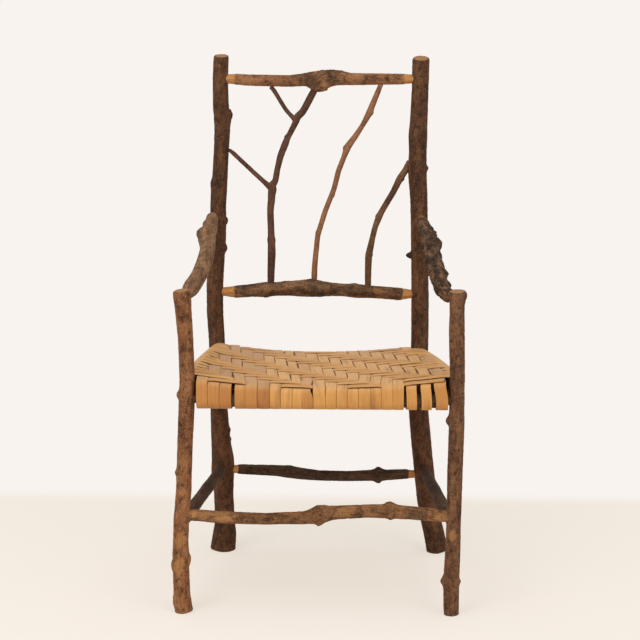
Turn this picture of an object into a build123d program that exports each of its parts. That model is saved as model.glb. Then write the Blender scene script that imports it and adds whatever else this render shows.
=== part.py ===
from build123d import *

import math
import os
from dataclasses import dataclass

# Twig armchair with a woven splint seat.
#
# Bark-on branches are tenoned into one another: two back posts, two front posts, two
# arms, two back rails with three twigs between them, four stretchers and four seat
# rails. Flat splints are woven over the seat rails in a three-over, three-under twill.
# The chair faces -Y and +Z is up. Sizes are in millimetres. Places are measured from
# the floor midway between the front posts, and the origin of the finished chair is on
# the floor under the middle of its overall box.

MIDDLE_X, MIDDLE_Y = -0.6, 223.2  # middle of the overall box

# The back posts stand upright to the seat and lean away above it.
BACK_DEPTH = 400.0
LEAN_FROM, LEAN_RISE, LEAN_RUN = 440.0, 590.0, 45.0

# Sides of a branch's cross-section, and the worn edge of a sawn end.
POST_SIDES, RAIL_SIDES, TWIG_SIDES, TENON_SIDES = 10, 8, 7, 6
SAW_CHAMFER = 1.5

# Whittled joints: a tenon's radius and depth by the kind of branch.
RAIL_TENON, RAIL_TENON_DEPTH = 7.0, 12.0
SEAT_TENON, SEAT_TENON_DEPTH = 8.5, 14.0
SIDE_TENON = 6.0
TWIG_TENON, TWIG_TENON_DEPTH = 4.2, 8.0
PAST_MIDDLE = 4.5  # how far a nailed tenon runs past the middle of its post
SOCKET_CLEARANCE, SOCKET_EXTRA_DEPTH = 0.15, 1.0
SHOULDER_GAP, SHOULDER_STEP, SEATING_STEPS = 0.4, 0.6, 50
STRAIGHT_ON, ROOT_LENGTH, BORE_REACH = 0.9, 6.0, 25.0

# Knots and cut side shoots are short cones that start halfway out to the bark.
KNOT_SIDES, KNOT_TAPER = 6, 12.0

# Square-cut nails, driven from behind through the back posts and the tenons in them.
NAIL_HEAD, NAIL_HEAD_THICKNESS = 5.0, 1.3
NAIL_SHANK, NAIL_LENGTH, NAIL_TAPER = 2.4, 23.0, 1.2
NAIL_HOLE_CLEARANCE, NAIL_HOLE_EXTRA_DEPTH, NAIL_PROUD = 0.3, 2.0, 0.35

# Splints: warps run front to back, wefts side to side.
THICKNESS = 0.9
LAYER, UNDER_LAYER = 1.5, 2.2  # height of an over or under run from the middle of the weave
WARP_COUNT, WARP_WIDTH, WARP_PITCH = 21, 20.4, 21.75
WARP_FIRST_X, WARP_SKEW = -208.5, -0.1
WEFT_COUNT, WEFT_WIDTH, WEFT_PITCH = 16, 21.5, 24.2
FILLER_Y, WEFT_FIRST_Y = 4.0, 28.0  # the filler is a short weft between the front posts
TWILL, TWILL_START = 3, 2
UNDER_TWILL, UNDER_FIRST, UNDER_LAST = 6, 4, 16  # warps that the lower run is woven with
SEAT_TOP, SEAT_FALL, SEAT_SAG = 446.5, 9.0 / 400.0, 19.0
UNDER_FRONT, UNDER_FALL = 386.0, 6.0 / 400.0
FRONT_CREASE, BACK_CREASE, CREASE_BEND = -14.4, 415.5, 4.0
WRAP_ABOVE, WRAP_BESIDE, WRAP_BELOW = 1.8, 1.4, 1.5  # from a rail's bark to the splint round it
POST_ROOM = 1.7  # from the back left post to the first warp that reaches the back
TUCKED_TAIL = 60.0
EIGHTH = math.tan(math.radians(22.5))  # corner of an octagon, as a part of its half-width

# Posts: height, sideways place and radius, from the floor up.
BACK_LEFT_ROWS = [
    (0, -213, 27.5), (32, -209, 26), (60, -208, 22), (118, -210, 21), (165, -212, 24.5),
    (191, -211, 24.5), (236, -215, 20.5), (302, -218, 18.5), (440, -221, 17.3),
    (504, -225, 17.5), (560, -225, 18), (656, -218, 17), (717, -218, 17), (762, -216, 17.5),
    (780, -214, 16.3), (835, -211, 16.2), (883, -209, 17.2), (899, -210, 17.6),
    (914, -212, 17), (976, -213, 16.3), (1025, -211, 16.2),
]
BACK_RIGHT_ROWS = [
    (0, 237, 23.5), (26, 232, 23), (60, 224, 22.4), (101, 216, 21.9), (156, 209, 21.8),
    (210, 203, 21.5), (298, 195, 21), (380, 195, 19.2), (453, 196, 18.5), (535, 196, 18.8),
    (582, 195, 18.4), (692, 193, 18.2), (735, 192, 18.6), (775, 189, 19.6), (797, 188, 20.2),
    (830, 189, 18.8), (867, 189, 19.9), (885, 190, 18.6), (956, 193, 17.7), (1020, 194, 18.4),
]
FRONT_LEFT_ROWS = [
    (0, -248, 18), (12, -250, 17.5), (20, -252, 18.7), (35, -252, 16.3), (83, -253, 15.8),
    (97, -252, 16.8), (112, -253, 16.4), (130, -253, 15.1), (175, -251, 15.1), (231, -246, 14.8),
    (327, -242, 14.8), (402, -238, 15.4), (441, -237, 14.5), (516, -239, 14.5),
    (573, -243, 15.7), (588, -244, 16.8), (603, -246, 16.2),
]
FRONT_RIGHT_ROWS = [
    (0, 249, 14.5), (22, 248, 15), (51, 248, 15.2), (63, 247, 16.0), (76, 248, 15.2),
    (127, 250, 14.5), (186, 251, 13.9), (260, 252, 14.8), (355, 254, 14.8), (366, 253.5, 15.9),
    (378, 254, 14.4), (450, 254, 14.3), (532, 252, 14.9), (569, 252, 14), (583, 252, 14.7),
    (596, 252.5, 17), (604, 252, 16.6),
]

# Knots: place along the branch, turn, radius and how far each stands out of the bark. A turn
# is counted from a post's right by way of its back, and from a level branch's top by way of
# its front, or of its right where it runs from front to back.
BACK_LEFT_KNOTS = [
    (903, 0, 8, 3.2), (690, 0, 5, 3.6), (634, 0, 6, 3.4), (255, 0, 4.5, 2), (234, 10, 4, 2),
]
BACK_RIGHT_KNOTS = [(797, 0, 4.5, 2.6), (621, 185, 5, 10)]
FRONT_LEFT_KNOTS = [(411, 180, 6, 3.2), (265, 180, 4.5, 2.2), (99, 5, 7, 1.2), (90, 180, 8, 2.2)]
FRONT_RIGHT_KNOTS = [(367, 180, 5, 4), (64, 180, 6, 3.4), (64, 0, 6, 2.6)]
CREST_KNOTS = [(-31, 25, 6, 2.5), (-5, 70, 8, 1.5), (6, 170, 7, 2)]
LOWER_KNOTS = [(-30, 20, 7, 1.5), (-8, 120, 6, 2)]
FRONT_STRETCHER_KNOTS = [(2, 170, 6, 3), (14, 60, 6, 2), (134, 5, 5, 2), (136, 150, 5, 1.6)]
BACK_STRETCHER_KNOTS = [(114, 0, 5, 3), (112, 180, 5, 3)]
ARM_LEFT_KNOTS = [(300, 275, 9, 4), (268, 300, 6, 3)]
ARM_RIGHT_KNOTS = [(262, 75, 9, 4), (300, 60, 6, 4), (118, 80, 7, 3.5), (70, 85, 6, 3)]

# Level rails: sideways place, height and radius, between the whittled ends. The two rails of
# the back stand at these heights on average, which sets how far back they are.
CREST_HEIGHT, LOWER_HEIGHT = 976.0, 546.0
CREST_ROWS = [
    (-183, 976, 11.7), (-159, 974, 12.2), (-71, 972, 12.7), (-39, 975, 13.7),
    (-24, 973, 19.8), (-12, 971, 23.8), (2, 976, 17.8), (26, 978, 15.5), (53, 976, 13.2),
    (160, 976, 11.4),
]
LOWER_ROWS = [
    (-184, 544, 13.3), (-147, 547, 14.1), (-122, 549, 16.6), (-103, 550, 14.9),
    (-69, 552, 16.2), (-42, 552, 18.7), (-19, 552, 19.3), (11, 550, 15.3), (36, 549, 13.9),
    (65, 547, 15.7), (98, 545, 13.6), (159, 541, 13.1),
]
FRONT_STRETCHER_ROWS = [
    (-220, 185, 11.5), (-189, 182, 12), (-96, 179, 11.5), (-59, 181, 11.8), (-22, 182, 12.9),
    (5, 188, 18.2), (29, 192, 13.8), (92, 196, 12.9), (123, 196, 13.8), (134, 197, 16.2),
    (149, 195, 13.6), (213, 190, 12.7), (222, 188, 11.5),
]
BACK_STRETCHER_ROWS = [
    (-176, 172, 10.9), (-98, 170, 12.3), (-71, 167, 14.1), (-44, 163, 13), (-9, 160, 11.4),
    (47, 159, 11.4), (98, 161, 12.2), (112, 162, 15.4), (128, 162, 12), (171, 165, 10.9),
]
FRONT_SEAT_ROWS = [(-208, 404.5, 14.8), (-60, 404, 16), (80, 405, 16), (224, 404.5, 14.8)]
BACK_SEAT_ROWS = [(-188, 397, 13.6), (-70, 396.5, 14.8), (60, 397, 14.8), (161, 397, 13.6)]

# Arms: sideways place, depth, height and radius, from front to back.
ARM_LEFT_ROWS = [
    (-236.5, 24, 595.5, 13.5), (-233, 42, 601, 16.5), (-224, 103, 618, 15.9),
    (-220, 164, 635, 16.2), (-220, 221, 652, 15.5), (-224, 256, 661, 17.1),
    (-227, 291, 671, 17.8), (-226, 322, 680, 16.2), (-226, 353, 689, 14.1),
    (-227, 389, 698.5, 13),
]
ARM_RIGHT_ROWS = [
    (239, 24, 591, 13.5), (227, 52, 599, 15.5), (222, 96, 612, 15.4), (221, 110, 616, 16.8),
    (217, 180, 635, 15.7), (213, 238, 651, 16.4), (212, 256, 656, 18.5), (209, 289, 665, 15.7),
    (205, 330, 677, 14.9), (198.5, 386, 690.5, 13),
]

# Side rails of the seat and side stretchers: middle of the front end and of the back end.
SEAT_LEFT_RUN = ((-237.5, 428), (-215, 420))
SEAT_RIGHT_RUN = ((252.5, 427.5), (198, 417))
STRETCHER_LEFT_RUN = ((-249, 169), (-213, 177))
STRETCHER_RIGHT_RUN = ((249, 170), (209, 175))
SIDE_RUN_DEPTH = (24.0, 368.0)
SIDE_TAPER = [(0, 0.93), (0.28, 1.0), (0.55, 0.97), (0.62, 1.03), (0.69, 0.98), (1, 0.92)]
SEAT_SIDE_RADIUS, STRETCHER_SIDE_RADIUS = 14.0, 12.6

# Twigs in the plane of the back: sideways place, height and radius.
STEM_ROWS = [
    (-110, 574, 7.9), (-108, 628, 9.2), (-109, 660, 7.6), (-111, 711, 7.5), (-109, 730, 8.2),
    (-108, 752, 8.7), (-101, 770, 7.1), (-96, 797, 6.5), (-90, 822, 7.4), (-80, 847, 7.8),
    (-75, 859, 6.2), (-62, 884, 6.8), (-56, 898, 8), (-45, 910, 5.9), (-31, 936, 6.3),
]
LOW_FORK_ROWS = [(-106, 754, 5.8), (-122, 767, 5.3), (-141, 784, 5.1), (-168, 809, 5), (-184, 824, 4.9)]
HIGH_FORK_ROWS = [(-56, 894, 5.5), (-77, 910, 4.8), (-87, 926, 4.7), (-101, 949, 4.7)]
MIDDLE_TWIG_ROWS = [
    (-21, 577, 6.7), (-20, 600, 6.3), (-14, 660, 5.9), (2, 712, 5.9), (19, 754, 5.8),
    (28, 791, 6.1), (39, 819, 5.9), (46, 839, 8), (63, 862, 6.5), (76, 882, 5.5),
    (90, 908, 7.2), (103, 940, 6.1), (108, 952, 6.1),
]
SIDE_TWIG_ROWS = [
    (89, 568, 7.2), (90, 618, 8.1), (98, 655, 6.4), (103, 677, 6.3), (111, 698, 7.4),
    (118, 712, 6.7), (140, 749, 6.9), (153, 776, 7.6), (158, 783, 6.2),
]


UP, SIDEWAYS, BACKWARD = Vector(0, 0, 1), Vector(1, 0, 0), Vector(0, 1, 0)


@dataclass(frozen=True)
class Tenon:
    """A whittled end in a bored socket: the middle of its shoulder, and which way it goes in."""

    seat: Vector
    into: Vector
    radius: float
    depth: float


@dataclass(frozen=True)
class Nail:
    """A square-cut nail: the middle of its head on the bark, and which way it is driven."""

    head: Vector
    into: Vector


def plane_at(origin, along, across=None):
    """A plane square to a direction, placed from the middle of the overall box."""
    if across is None:
        across = Vector(0, 0, 1) if abs(along.Z) < STRAIGHT_ON else Vector(1, 0, 0)
    x_dir = across - along * across.dot(along)
    return Plane(origin=origin - Vector(MIDDLE_X, MIDDLE_Y, 0), x_dir=x_dir, z_dir=along)


def polygon(plane, radius, sides):
    """One cross-section of a branch or a tenon."""
    with BuildSketch(plane) as outline:
        RegularPolygon(radius, sides)
    return outline.sketch


def square(plane, side):
    """One cross-section of a nail."""
    with BuildSketch(plane) as outline:
        Rectangle(side, side)
    return outline.sketch


def back_y(z):
    """Depth of the middle of the back at a height."""
    return BACK_DEPTH + LEAN_RUN * max(z - LEAN_FROM, 0) / LEAN_RISE


def front_y(_z):
    """Depth of the middle of the front posts."""
    return 0.0


def post_path(rows, depth_at):
    """A post's middle line and radii, with the worn edge of its sawn top."""
    path = [(Vector(x, depth_at(z), z), r) for z, x, r in rows]
    top, radius = path[-1]
    path.append((top + Vector(0, 0, SAW_CHAMFER), radius - SAW_CHAMFER))
    return path


def level_path(rows, y):
    """A level rail's middle line and radii."""
    return [(Vector(x, y, z), r) for x, z, r in rows]


def back_path(rows):
    """A twig's middle line and radii, in the leaning plane of the back."""
    return [(Vector(x, back_y(z), z), r) for x, z, r in rows]


def arm_path(rows):
    """An arm's middle line and radii."""
    return [(Vector(x, y, z), r) for x, y, z, r in rows]


def side_path(run, radius):
    """A straight branch from front to back, a little thicker at its knot."""
    (front_x, front_z), (back_x, back_z) = run
    front = Vector(front_x, SIDE_RUN_DEPTH[0], front_z)
    back = Vector(back_x, SIDE_RUN_DEPTH[1], back_z)
    return [(front + (back - front) * part, radius * scale) for part, scale in SIDE_TAPER]


def clearance(path, point):
    """Distance from a point to the bark of a branch."""
    gaps = []
    for (start, start_radius), (end, end_radius) in zip(path, path[1:]):
        run = end - start
        part = min(max((point - start).dot(run) / run.dot(run), 0), 1)
        radius = start_radius + part * (end_radius - start_radius)
        gaps.append((point - start - run * part).length - radius)
    return min(gaps)


def tenon(path, target, radius, depth, at_end, toward=None):
    """The tenon that carries one end of a branch on to the bark of another."""
    (before, _), (tip, _) = path[-2:] if at_end else (path[1], path[0])
    into = (toward or tip - before).normalized()
    frame = plane_at(tip, into)
    reach = radius + 2 * SHOULDER_STEP
    rim = [way * sign * reach for way in (frame.x_dir, frame.y_dir) for sign in (-1, 1)]
    seat = tip
    for _ in range(SEATING_STEPS):
        seat += into * (min(clearance(target, seat + offset) for offset in rim) - SHOULDER_GAP)
    return Tenon(seat, into, radius, depth)


def level_tenons(path, left, right, radius, depth):
    """The two tenons of a level rail, which go straight sideways into its posts."""
    return [
        tenon(path, left, radius, depth, False, SIDEWAYS * -1),
        tenon(path, right, radius, depth, True, SIDEWAYS),
    ]


def nailed_tenons(path, left, right, radius):
    """The two tenons of a level rail that run past the middle of its posts, for their nails."""
    ends = level_tenons(path, left, right, radius, PAST_MIDDLE)
    middles = [place_on(post, UP, end.seat.Z)[0].X for post, end in zip((left, right), ends)]
    return [
        Tenon(end.seat, end.into, radius, abs(middle - end.seat.X) + PAST_MIDDLE)
        for middle, end in zip(middles, ends)
    ]


def place_on(path, axis, place):
    """The middle and the radius of a branch at a place along an axis."""
    for (start, start_radius), (end, end_radius) in zip(path, path[1:]):
        low, high = start.dot(axis), end.dot(axis)
        if low <= place <= high:
            part = (place - low) / (high - low)
            return start + (end - start) * part, start_radius + (end_radius - start_radius) * part
    raise ValueError(f"the branch doesn't reach {place}")


def shoulder(end):
    """The small end of the whittled cone behind a tenon."""
    return (end.seat - end.into * SHOULDER_STEP, end.radius + SHOULDER_STEP)


def ring(point, radius, along, across, sides):
    """The corners of one cross-section of a branch."""
    plane = plane_at(point, along, across)
    corners = [Vector(radius, 0).rotate(Axis.Z, 360 * side / sides) for side in range(sides)]
    return [plane.from_local_coords(corner) for corner in corners]


def branch(path, sides, across, along=None):
    """Add a branch to the piece being built, with long flats between parallel cross-sections."""
    if along is None:
        along = (path[-1][0] - path[0][0]).normalized()
    rings = [ring(point, radius, along, across, sides) for point, radius in path]
    ends = [rings[0], rings[-1]]
    flats = [
        [here[side - 1], here[side], there[side], there[side - 1]]
        for here, there in zip(rings, rings[1:])
        for side in range(sides)
    ]
    faces = [Face(Wire.make_polygon(outline)) for outline in ends + flats]
    add(Solid(Shell(faces)))


def whittled_branch(path, ends, sides, across):
    """Add a branch that narrows to its two shoulders, with a whittled tenon on each."""
    first, last = ends
    branch([shoulder(first), *path, shoulder(last)], sides, across)
    whittle(first)
    whittle(last)


def whittle(end):
    """Add a tenon to the piece being built."""
    plane = plane_at(end.seat - end.into * ROOT_LENGTH, end.into)
    extrude(polygon(plane, end.radius, TENON_SIDES), amount=ROOT_LENGTH + end.depth)


def bore(*ends):
    """Bore the sockets of these tenons in the piece being built."""
    for end in ends:
        plane = plane_at(end.seat - end.into * BORE_REACH, end.into)
        outline = polygon(plane, end.radius + SOCKET_CLEARANCE, TENON_SIDES)
        depth = BORE_REACH + end.depth + SOCKET_EXTRA_DEPTH
        extrude(outline, amount=depth, mode=Mode.SUBTRACT)


def knots(path, rows, axis, across):
    """Add the knots and cut side shoots to the branch being built."""
    for place, turn, radius, stands_out in rows:
        middle, girth = place_on(path, axis, place)
        angle = math.radians(turn)
        outward = across * math.cos(angle) + axis.cross(across) * math.sin(angle)
        base = polygon(plane_at(middle + outward * (girth / 2), outward), radius, KNOT_SIDES)
        extrude(base, amount=girth / 2 + stands_out, taper=KNOT_TAPER)


def nail_through(post, end):
    """The nail that pins a level tenon, driven from behind at the middle of its post."""
    middle, _ = place_on(post, UP, end.seat.Z)
    head = middle + BACKWARD * (NAIL_PROUD - clearance(post, middle))
    return Nail(head, BACKWARD * -1)


def nail_hole(*nails):
    """Cut the holes of these nails in the piece being built."""
    for nail in nails:
        plane = plane_at(nail.head - nail.into, nail.into)
        outline = square(plane, NAIL_SHANK + NAIL_HOLE_CLEARANCE)
        extrude(outline, amount=NAIL_LENGTH + NAIL_HOLE_EXTRA_DEPTH, mode=Mode.SUBTRACT)


# Middle lines of the branches.
back_left_path = post_path(BACK_LEFT_ROWS, back_y)
back_right_path = post_path(BACK_RIGHT_ROWS, back_y)
front_left_path = post_path(FRONT_LEFT_ROWS, front_y)
front_right_path = post_path(FRONT_RIGHT_ROWS, front_y)
crest_path = level_path(CREST_ROWS, back_y(CREST_HEIGHT))
lower_path = level_path(LOWER_ROWS, back_y(LOWER_HEIGHT))
front_stretcher_path = level_path(FRONT_STRETCHER_ROWS, 0)
back_stretcher_path = level_path(BACK_STRETCHER_ROWS, BACK_DEPTH)
front_seat_path = level_path(FRONT_SEAT_ROWS, 0)
back_seat_path = level_path(BACK_SEAT_ROWS, BACK_DEPTH)
arm_left_path = arm_path(ARM_LEFT_ROWS)
arm_right_path = arm_path(ARM_RIGHT_ROWS)
seat_left_path = side_path(SEAT_LEFT_RUN, SEAT_SIDE_RADIUS)
seat_right_path = side_path(SEAT_RIGHT_RUN, SEAT_SIDE_RADIUS)
stretcher_left_path = side_path(STRETCHER_LEFT_RUN, STRETCHER_SIDE_RADIUS)
stretcher_right_path = side_path(STRETCHER_RIGHT_RUN, STRETCHER_SIDE_RADIUS)
stem_path = back_path(STEM_ROWS)
low_fork_path = back_path(LOW_FORK_ROWS)
high_fork_path = back_path(HIGH_FORK_ROWS)
middle_twig_path = back_path(MIDDLE_TWIG_ROWS)
side_twig_path = back_path(SIDE_TWIG_ROWS)

# Tenons of the level rails, left then right.
crest_ends = nailed_tenons(crest_path, back_left_path, back_right_path, RAIL_TENON)
lower_ends = nailed_tenons(lower_path, back_left_path, back_right_path, RAIL_TENON)
back_seat_ends = nailed_tenons(back_seat_path, back_left_path, back_right_path, SEAT_TENON)
front_seat_ends = level_tenons(
    front_seat_path, front_left_path, front_right_path, SEAT_TENON, SEAT_TENON_DEPTH
)
front_stretcher_ends = level_tenons(
    front_stretcher_path, front_left_path, front_right_path, RAIL_TENON, RAIL_TENON_DEPTH
)
back_stretcher_ends = level_tenons(
    back_stretcher_path, back_left_path, back_right_path, RAIL_TENON, RAIL_TENON_DEPTH
)


def side_tenons(path, front, back, radius):
    """The two tenons of a branch that runs from front to back."""
    return [
        tenon(path, front, radius, RAIL_TENON_DEPTH, False),
        tenon(path, back, radius, RAIL_TENON_DEPTH, True),
    ]


# Tenons of the side runs, front then back.
arm_left_ends = side_tenons(arm_left_path, front_left_path, back_left_path, RAIL_TENON)
arm_right_ends = side_tenons(arm_right_path, front_right_path, back_right_path, RAIL_TENON)
seat_left_ends = side_tenons(seat_left_path, front_left_path, back_left_path, RAIL_TENON)
seat_right_ends = side_tenons(seat_right_path, front_right_path, back_right_path, RAIL_TENON)
stretcher_left_ends = side_tenons(
    stretcher_left_path, front_left_path, back_left_path, SIDE_TENON
)
stretcher_right_ends = side_tenons(
    stretcher_right_path, front_right_path, back_right_path, SIDE_TENON
)

# Tenons of the twigs.
stem_foot = tenon(stem_path, lower_path, TWIG_TENON, TWIG_TENON_DEPTH, False)
stem_top = tenon(stem_path, crest_path, TWIG_TENON, TWIG_TENON_DEPTH, True)
low_fork_tip = tenon(low_fork_path, back_left_path, TWIG_TENON, TWIG_TENON_DEPTH, True)
high_fork_tip = tenon(high_fork_path, crest_path, TWIG_TENON, TWIG_TENON_DEPTH, True)
middle_foot = tenon(middle_twig_path, lower_path, TWIG_TENON, TWIG_TENON_DEPTH, False)
middle_top = tenon(middle_twig_path, crest_path, TWIG_TENON, TWIG_TENON_DEPTH, True)
side_foot = tenon(side_twig_path, lower_path, TWIG_TENON, TWIG_TENON_DEPTH, False)
side_tip = tenon(side_twig_path, back_right_path, TWIG_TENON, TWIG_TENON_DEPTH, True)

# One nail through each back post for the crest rail, the lower rail and the seat rail.
left_nails = [nail_through(back_left_path, e[0]) for e in (crest_ends, lower_ends, back_seat_ends)]
right_nails = [nail_through(back_right_path, e[1]) for e in (crest_ends, lower_ends, back_seat_ends)]
os.makedirs("parts", exist_ok=True)

# Posts.
with BuildPart() as back_post_left:
    branch(back_left_path, POST_SIDES, SIDEWAYS, UP)
    knots(back_left_path, BACK_LEFT_KNOTS, UP, SIDEWAYS)
    bore(crest_ends[0], lower_ends[0], back_seat_ends[0], back_stretcher_ends[0])
    bore(arm_left_ends[1], seat_left_ends[1], stretcher_left_ends[1], low_fork_tip)
    nail_hole(*left_nails)
back_post_left.part.label = "back_post_left"

with BuildPart() as back_post_right:
    branch(back_right_path, POST_SIDES, SIDEWAYS, UP)
    knots(back_right_path, BACK_RIGHT_KNOTS, UP, SIDEWAYS)
    bore(crest_ends[1], lower_ends[1], back_seat_ends[1], back_stretcher_ends[1])
    bore(arm_right_ends[1], seat_right_ends[1], stretcher_right_ends[1], side_tip)
    nail_hole(*right_nails)
back_post_right.part.label = "back_post_right"

with BuildPart() as front_post_left:
    branch(front_left_path, POST_SIDES, SIDEWAYS, UP)
    knots(front_left_path, FRONT_LEFT_KNOTS, UP, SIDEWAYS)
    bore(front_seat_ends[0], front_stretcher_ends[0])
    bore(arm_left_ends[0], seat_left_ends[0], stretcher_left_ends[0])
front_post_left.part.label = "front_post_left"

with BuildPart() as front_post_right:
    branch(front_right_path, POST_SIDES, SIDEWAYS, UP)
    knots(front_right_path, FRONT_RIGHT_KNOTS, UP, SIDEWAYS)
    bore(front_seat_ends[1], front_stretcher_ends[1])
    bore(arm_right_ends[0], seat_right_ends[0], stretcher_right_ends[0])
front_post_right.part.label = "front_post_right"

# Rails of the back, and the twigs between them.
with BuildPart() as crest_rail:
    whittled_branch(crest_path, crest_ends, RAIL_SIDES, UP)
    knots(crest_path, CREST_KNOTS, SIDEWAYS, UP)
    bore(stem_top, high_fork_tip, middle_top)
    nail_hole(left_nails[0], right_nails[0])
crest_rail.part.label = "crest_rail"

with BuildPart() as lower_back_rail:
    whittled_branch(lower_path, lower_ends, RAIL_SIDES, UP)
    knots(lower_path, LOWER_KNOTS, SIDEWAYS, UP)
    bore(stem_foot, middle_foot, side_foot)
    nail_hole(left_nails[1], right_nails[1])
lower_back_rail.part.label = "lower_back_rail"

with BuildPart() as forked_twig:
    whittled_branch(stem_path, [stem_foot, stem_top], TWIG_SIDES, BACKWARD)
    branch([*low_fork_path, shoulder(low_fork_tip)], TWIG_SIDES, BACKWARD)
    whittle(low_fork_tip)
    branch([*high_fork_path, shoulder(high_fork_tip)], TWIG_SIDES, BACKWARD)
    whittle(high_fork_tip)
forked_twig.part.label = "forked_twig"

with BuildPart() as middle_twig:
    whittled_branch(middle_twig_path, [middle_foot, middle_top], TWIG_SIDES, BACKWARD)
middle_twig.part.label = "middle_twig"

with BuildPart() as side_twig:
    whittled_branch(side_twig_path, [side_foot, side_tip], TWIG_SIDES, BACKWARD)
side_twig.part.label = "side_twig"

# Arms.
with BuildPart() as arm_left:
    whittled_branch(arm_left_path, arm_left_ends, RAIL_SIDES, UP)
    knots(arm_left_path, ARM_LEFT_KNOTS, BACKWARD, UP)
arm_left.part.label = "arm_left"

with BuildPart() as arm_right:
    whittled_branch(arm_right_path, arm_right_ends, RAIL_SIDES, UP)
    knots(arm_right_path, ARM_RIGHT_KNOTS, BACKWARD, UP)
arm_right.part.label = "arm_right"

# Stretchers.
with BuildPart() as front_stretcher:
    whittled_branch(front_stretcher_path, front_stretcher_ends, RAIL_SIDES, UP)
    knots(front_stretcher_path, FRONT_STRETCHER_KNOTS, SIDEWAYS, UP)
front_stretcher.part.label = "front_stretcher"

with BuildPart() as back_stretcher:
    whittled_branch(back_stretcher_path, back_stretcher_ends, RAIL_SIDES, UP)
    knots(back_stretcher_path, BACK_STRETCHER_KNOTS, SIDEWAYS, UP)
back_stretcher.part.label = "back_stretcher"

with BuildPart() as side_stretcher_left:
    whittled_branch(stretcher_left_path, stretcher_left_ends, RAIL_SIDES, UP)
side_stretcher_left.part.label = "side_stretcher_left"

with BuildPart() as side_stretcher_right:
    whittled_branch(stretcher_right_path, stretcher_right_ends, RAIL_SIDES, UP)
side_stretcher_right.part.label = "side_stretcher_right"

# Seat rails.
with BuildPart() as front_seat_rail:
    whittled_branch(front_seat_path, front_seat_ends, RAIL_SIDES, UP)
front_seat_rail.part.label = "front_seat_rail"

with BuildPart() as back_seat_rail:
    whittled_branch(back_seat_path, back_seat_ends, RAIL_SIDES, UP)
    nail_hole(left_nails[2], right_nails[2])
back_seat_rail.part.label = "back_seat_rail"

with BuildPart() as side_seat_rail_left:
    whittled_branch(seat_left_path, seat_left_ends, RAIL_SIDES, UP)
side_seat_rail_left.part.label = "side_seat_rail_left"

with BuildPart() as side_seat_rail_right:
    whittled_branch(seat_right_path, seat_right_ends, RAIL_SIDES, UP)
side_seat_rail_right.part.label = "side_seat_rail_right"

# Nails.
with BuildPart() as joint_nails:
    for nail in [*left_nails, *right_nails]:
        head = square(plane_at(nail.head, nail.into), NAIL_HEAD)
        shank = square(plane_at(nail.head, nail.into), NAIL_SHANK)
        extrude(head, amount=-NAIL_HEAD_THICKNESS)
        extrude(shank, amount=NAIL_LENGTH, taper=NAIL_TAPER)
joint_nails.part.label = "joint_nails"


# The woven seat. A splint is drawn from the side as its middle line, with the way that
# faces out of the loop at each point, and extruded across its width.
def warp_over(warp, weft):
    """Whether a warp passes over a weft in the twill of the seat."""
    return (warp + weft + TWILL_START) % (2 * TWILL) < TWILL


def under_warp_over(warp, weft):
    """Whether a warp passes above a weft on the underside, in its longer twill."""
    woven = UNDER_FIRST <= warp <= UNDER_LAST
    return woven and (warp + weft) % (2 * UNDER_TWILL) < UNDER_TWILL


def warp_x(warp, y):
    """Sideways place of a warp at a depth: the warps slant to the left going back."""
    return WARP_FIRST_X + warp * WARP_PITCH + WARP_SKEW * y


def weft_y(weft):
    """Depth of a weft."""
    return WEFT_FIRST_Y + (weft - 1) * WEFT_PITCH if weft else FILLER_Y


def rail_at(path, y):
    """The middle of a side rail at a depth."""
    (front, _), (back, _) = path[0], path[-1]
    return front + (back - front) * ((y - front.Y) / (back.Y - front.Y))


def seat_height(x, y):
    """The middle of the weave, which falls to the back and sags between the side rails."""
    left, right = rail_at(seat_left_path, y).X, rail_at(seat_right_path, y).X
    across = (2 * x - left - right) / (right - left)
    return SEAT_TOP - SEAT_FALL * y - SEAT_SAG * (1 - across**2)


def under_height(y):
    """The middle of the weave on the underside."""
    return UNDER_FRONT - UNDER_FALL * y


def levels(places, sides, width):
    """Where a splint changes sides along its run, as places and sides of the middle."""
    turns = [(places[0] - width / 2, sides[0])]
    for here, there, side, other in zip(places, places[1:], sides, sides[1:]):
        if side != other:
            middle = (here + there) / 2
            gap = there - here - width
            turns += [(middle - gap, side), (middle + gap, other)]
    turns.append((places[-1] + width / 2, sides[-1]))
    return turns


def last_row(warp):
    """The last weft that a warp crosses before it meets a side rail or reaches the back."""
    rows = range(WEFT_COUNT)
    inner_left = [rail_at(seat_left_path, weft_y(j)).X + SEAT_SIDE_RADIUS for j in rows]
    inner_right = [rail_at(seat_right_path, weft_y(j)).X - SEAT_SIDE_RADIUS for j in rows]
    free = [j for j in rows if inner_left[j] < warp_x(warp, weft_y(j)) < inner_right[j]]
    post, girth = place_on(back_left_path, UP, back_seat_path[0][0].Z)
    left_edge = warp_x(warp, BACK_CREASE) - WARP_WIDTH / 2
    if free[-1] == WEFT_COUNT - 1 and left_edge > post.X + girth - POST_ROOM:
        return WEFT_COUNT - 1
    return max(j for j in free if not warp_over(warp, j))


def corner(y, z, away_y, away_z):
    """A point where a splint turns, with the way out of the loop."""
    return (y, z, away_y, away_z)


LAST_ROWS = [last_row(warp) for warp in range(WARP_COUNT)]


def warp_top(warp):
    """A warp's middle line over the seat, from the front crease back."""
    rows = list(range(LAST_ROWS[warp] + 1))
    sides = [1 if warp_over(warp, j) else -1 for j in rows]
    turns = levels([weft_y(j) for j in rows], sides, WEFT_WIDTH)
    if LAST_ROWS[warp] < WEFT_COUNT - 1:
        turns[-1] = (weft_y(rows[-1]), sides[-1])
    return [corner(y, seat_height(warp_x(warp, y), y) + side * LAYER, 0, 1) for y, side in turns]


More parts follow.
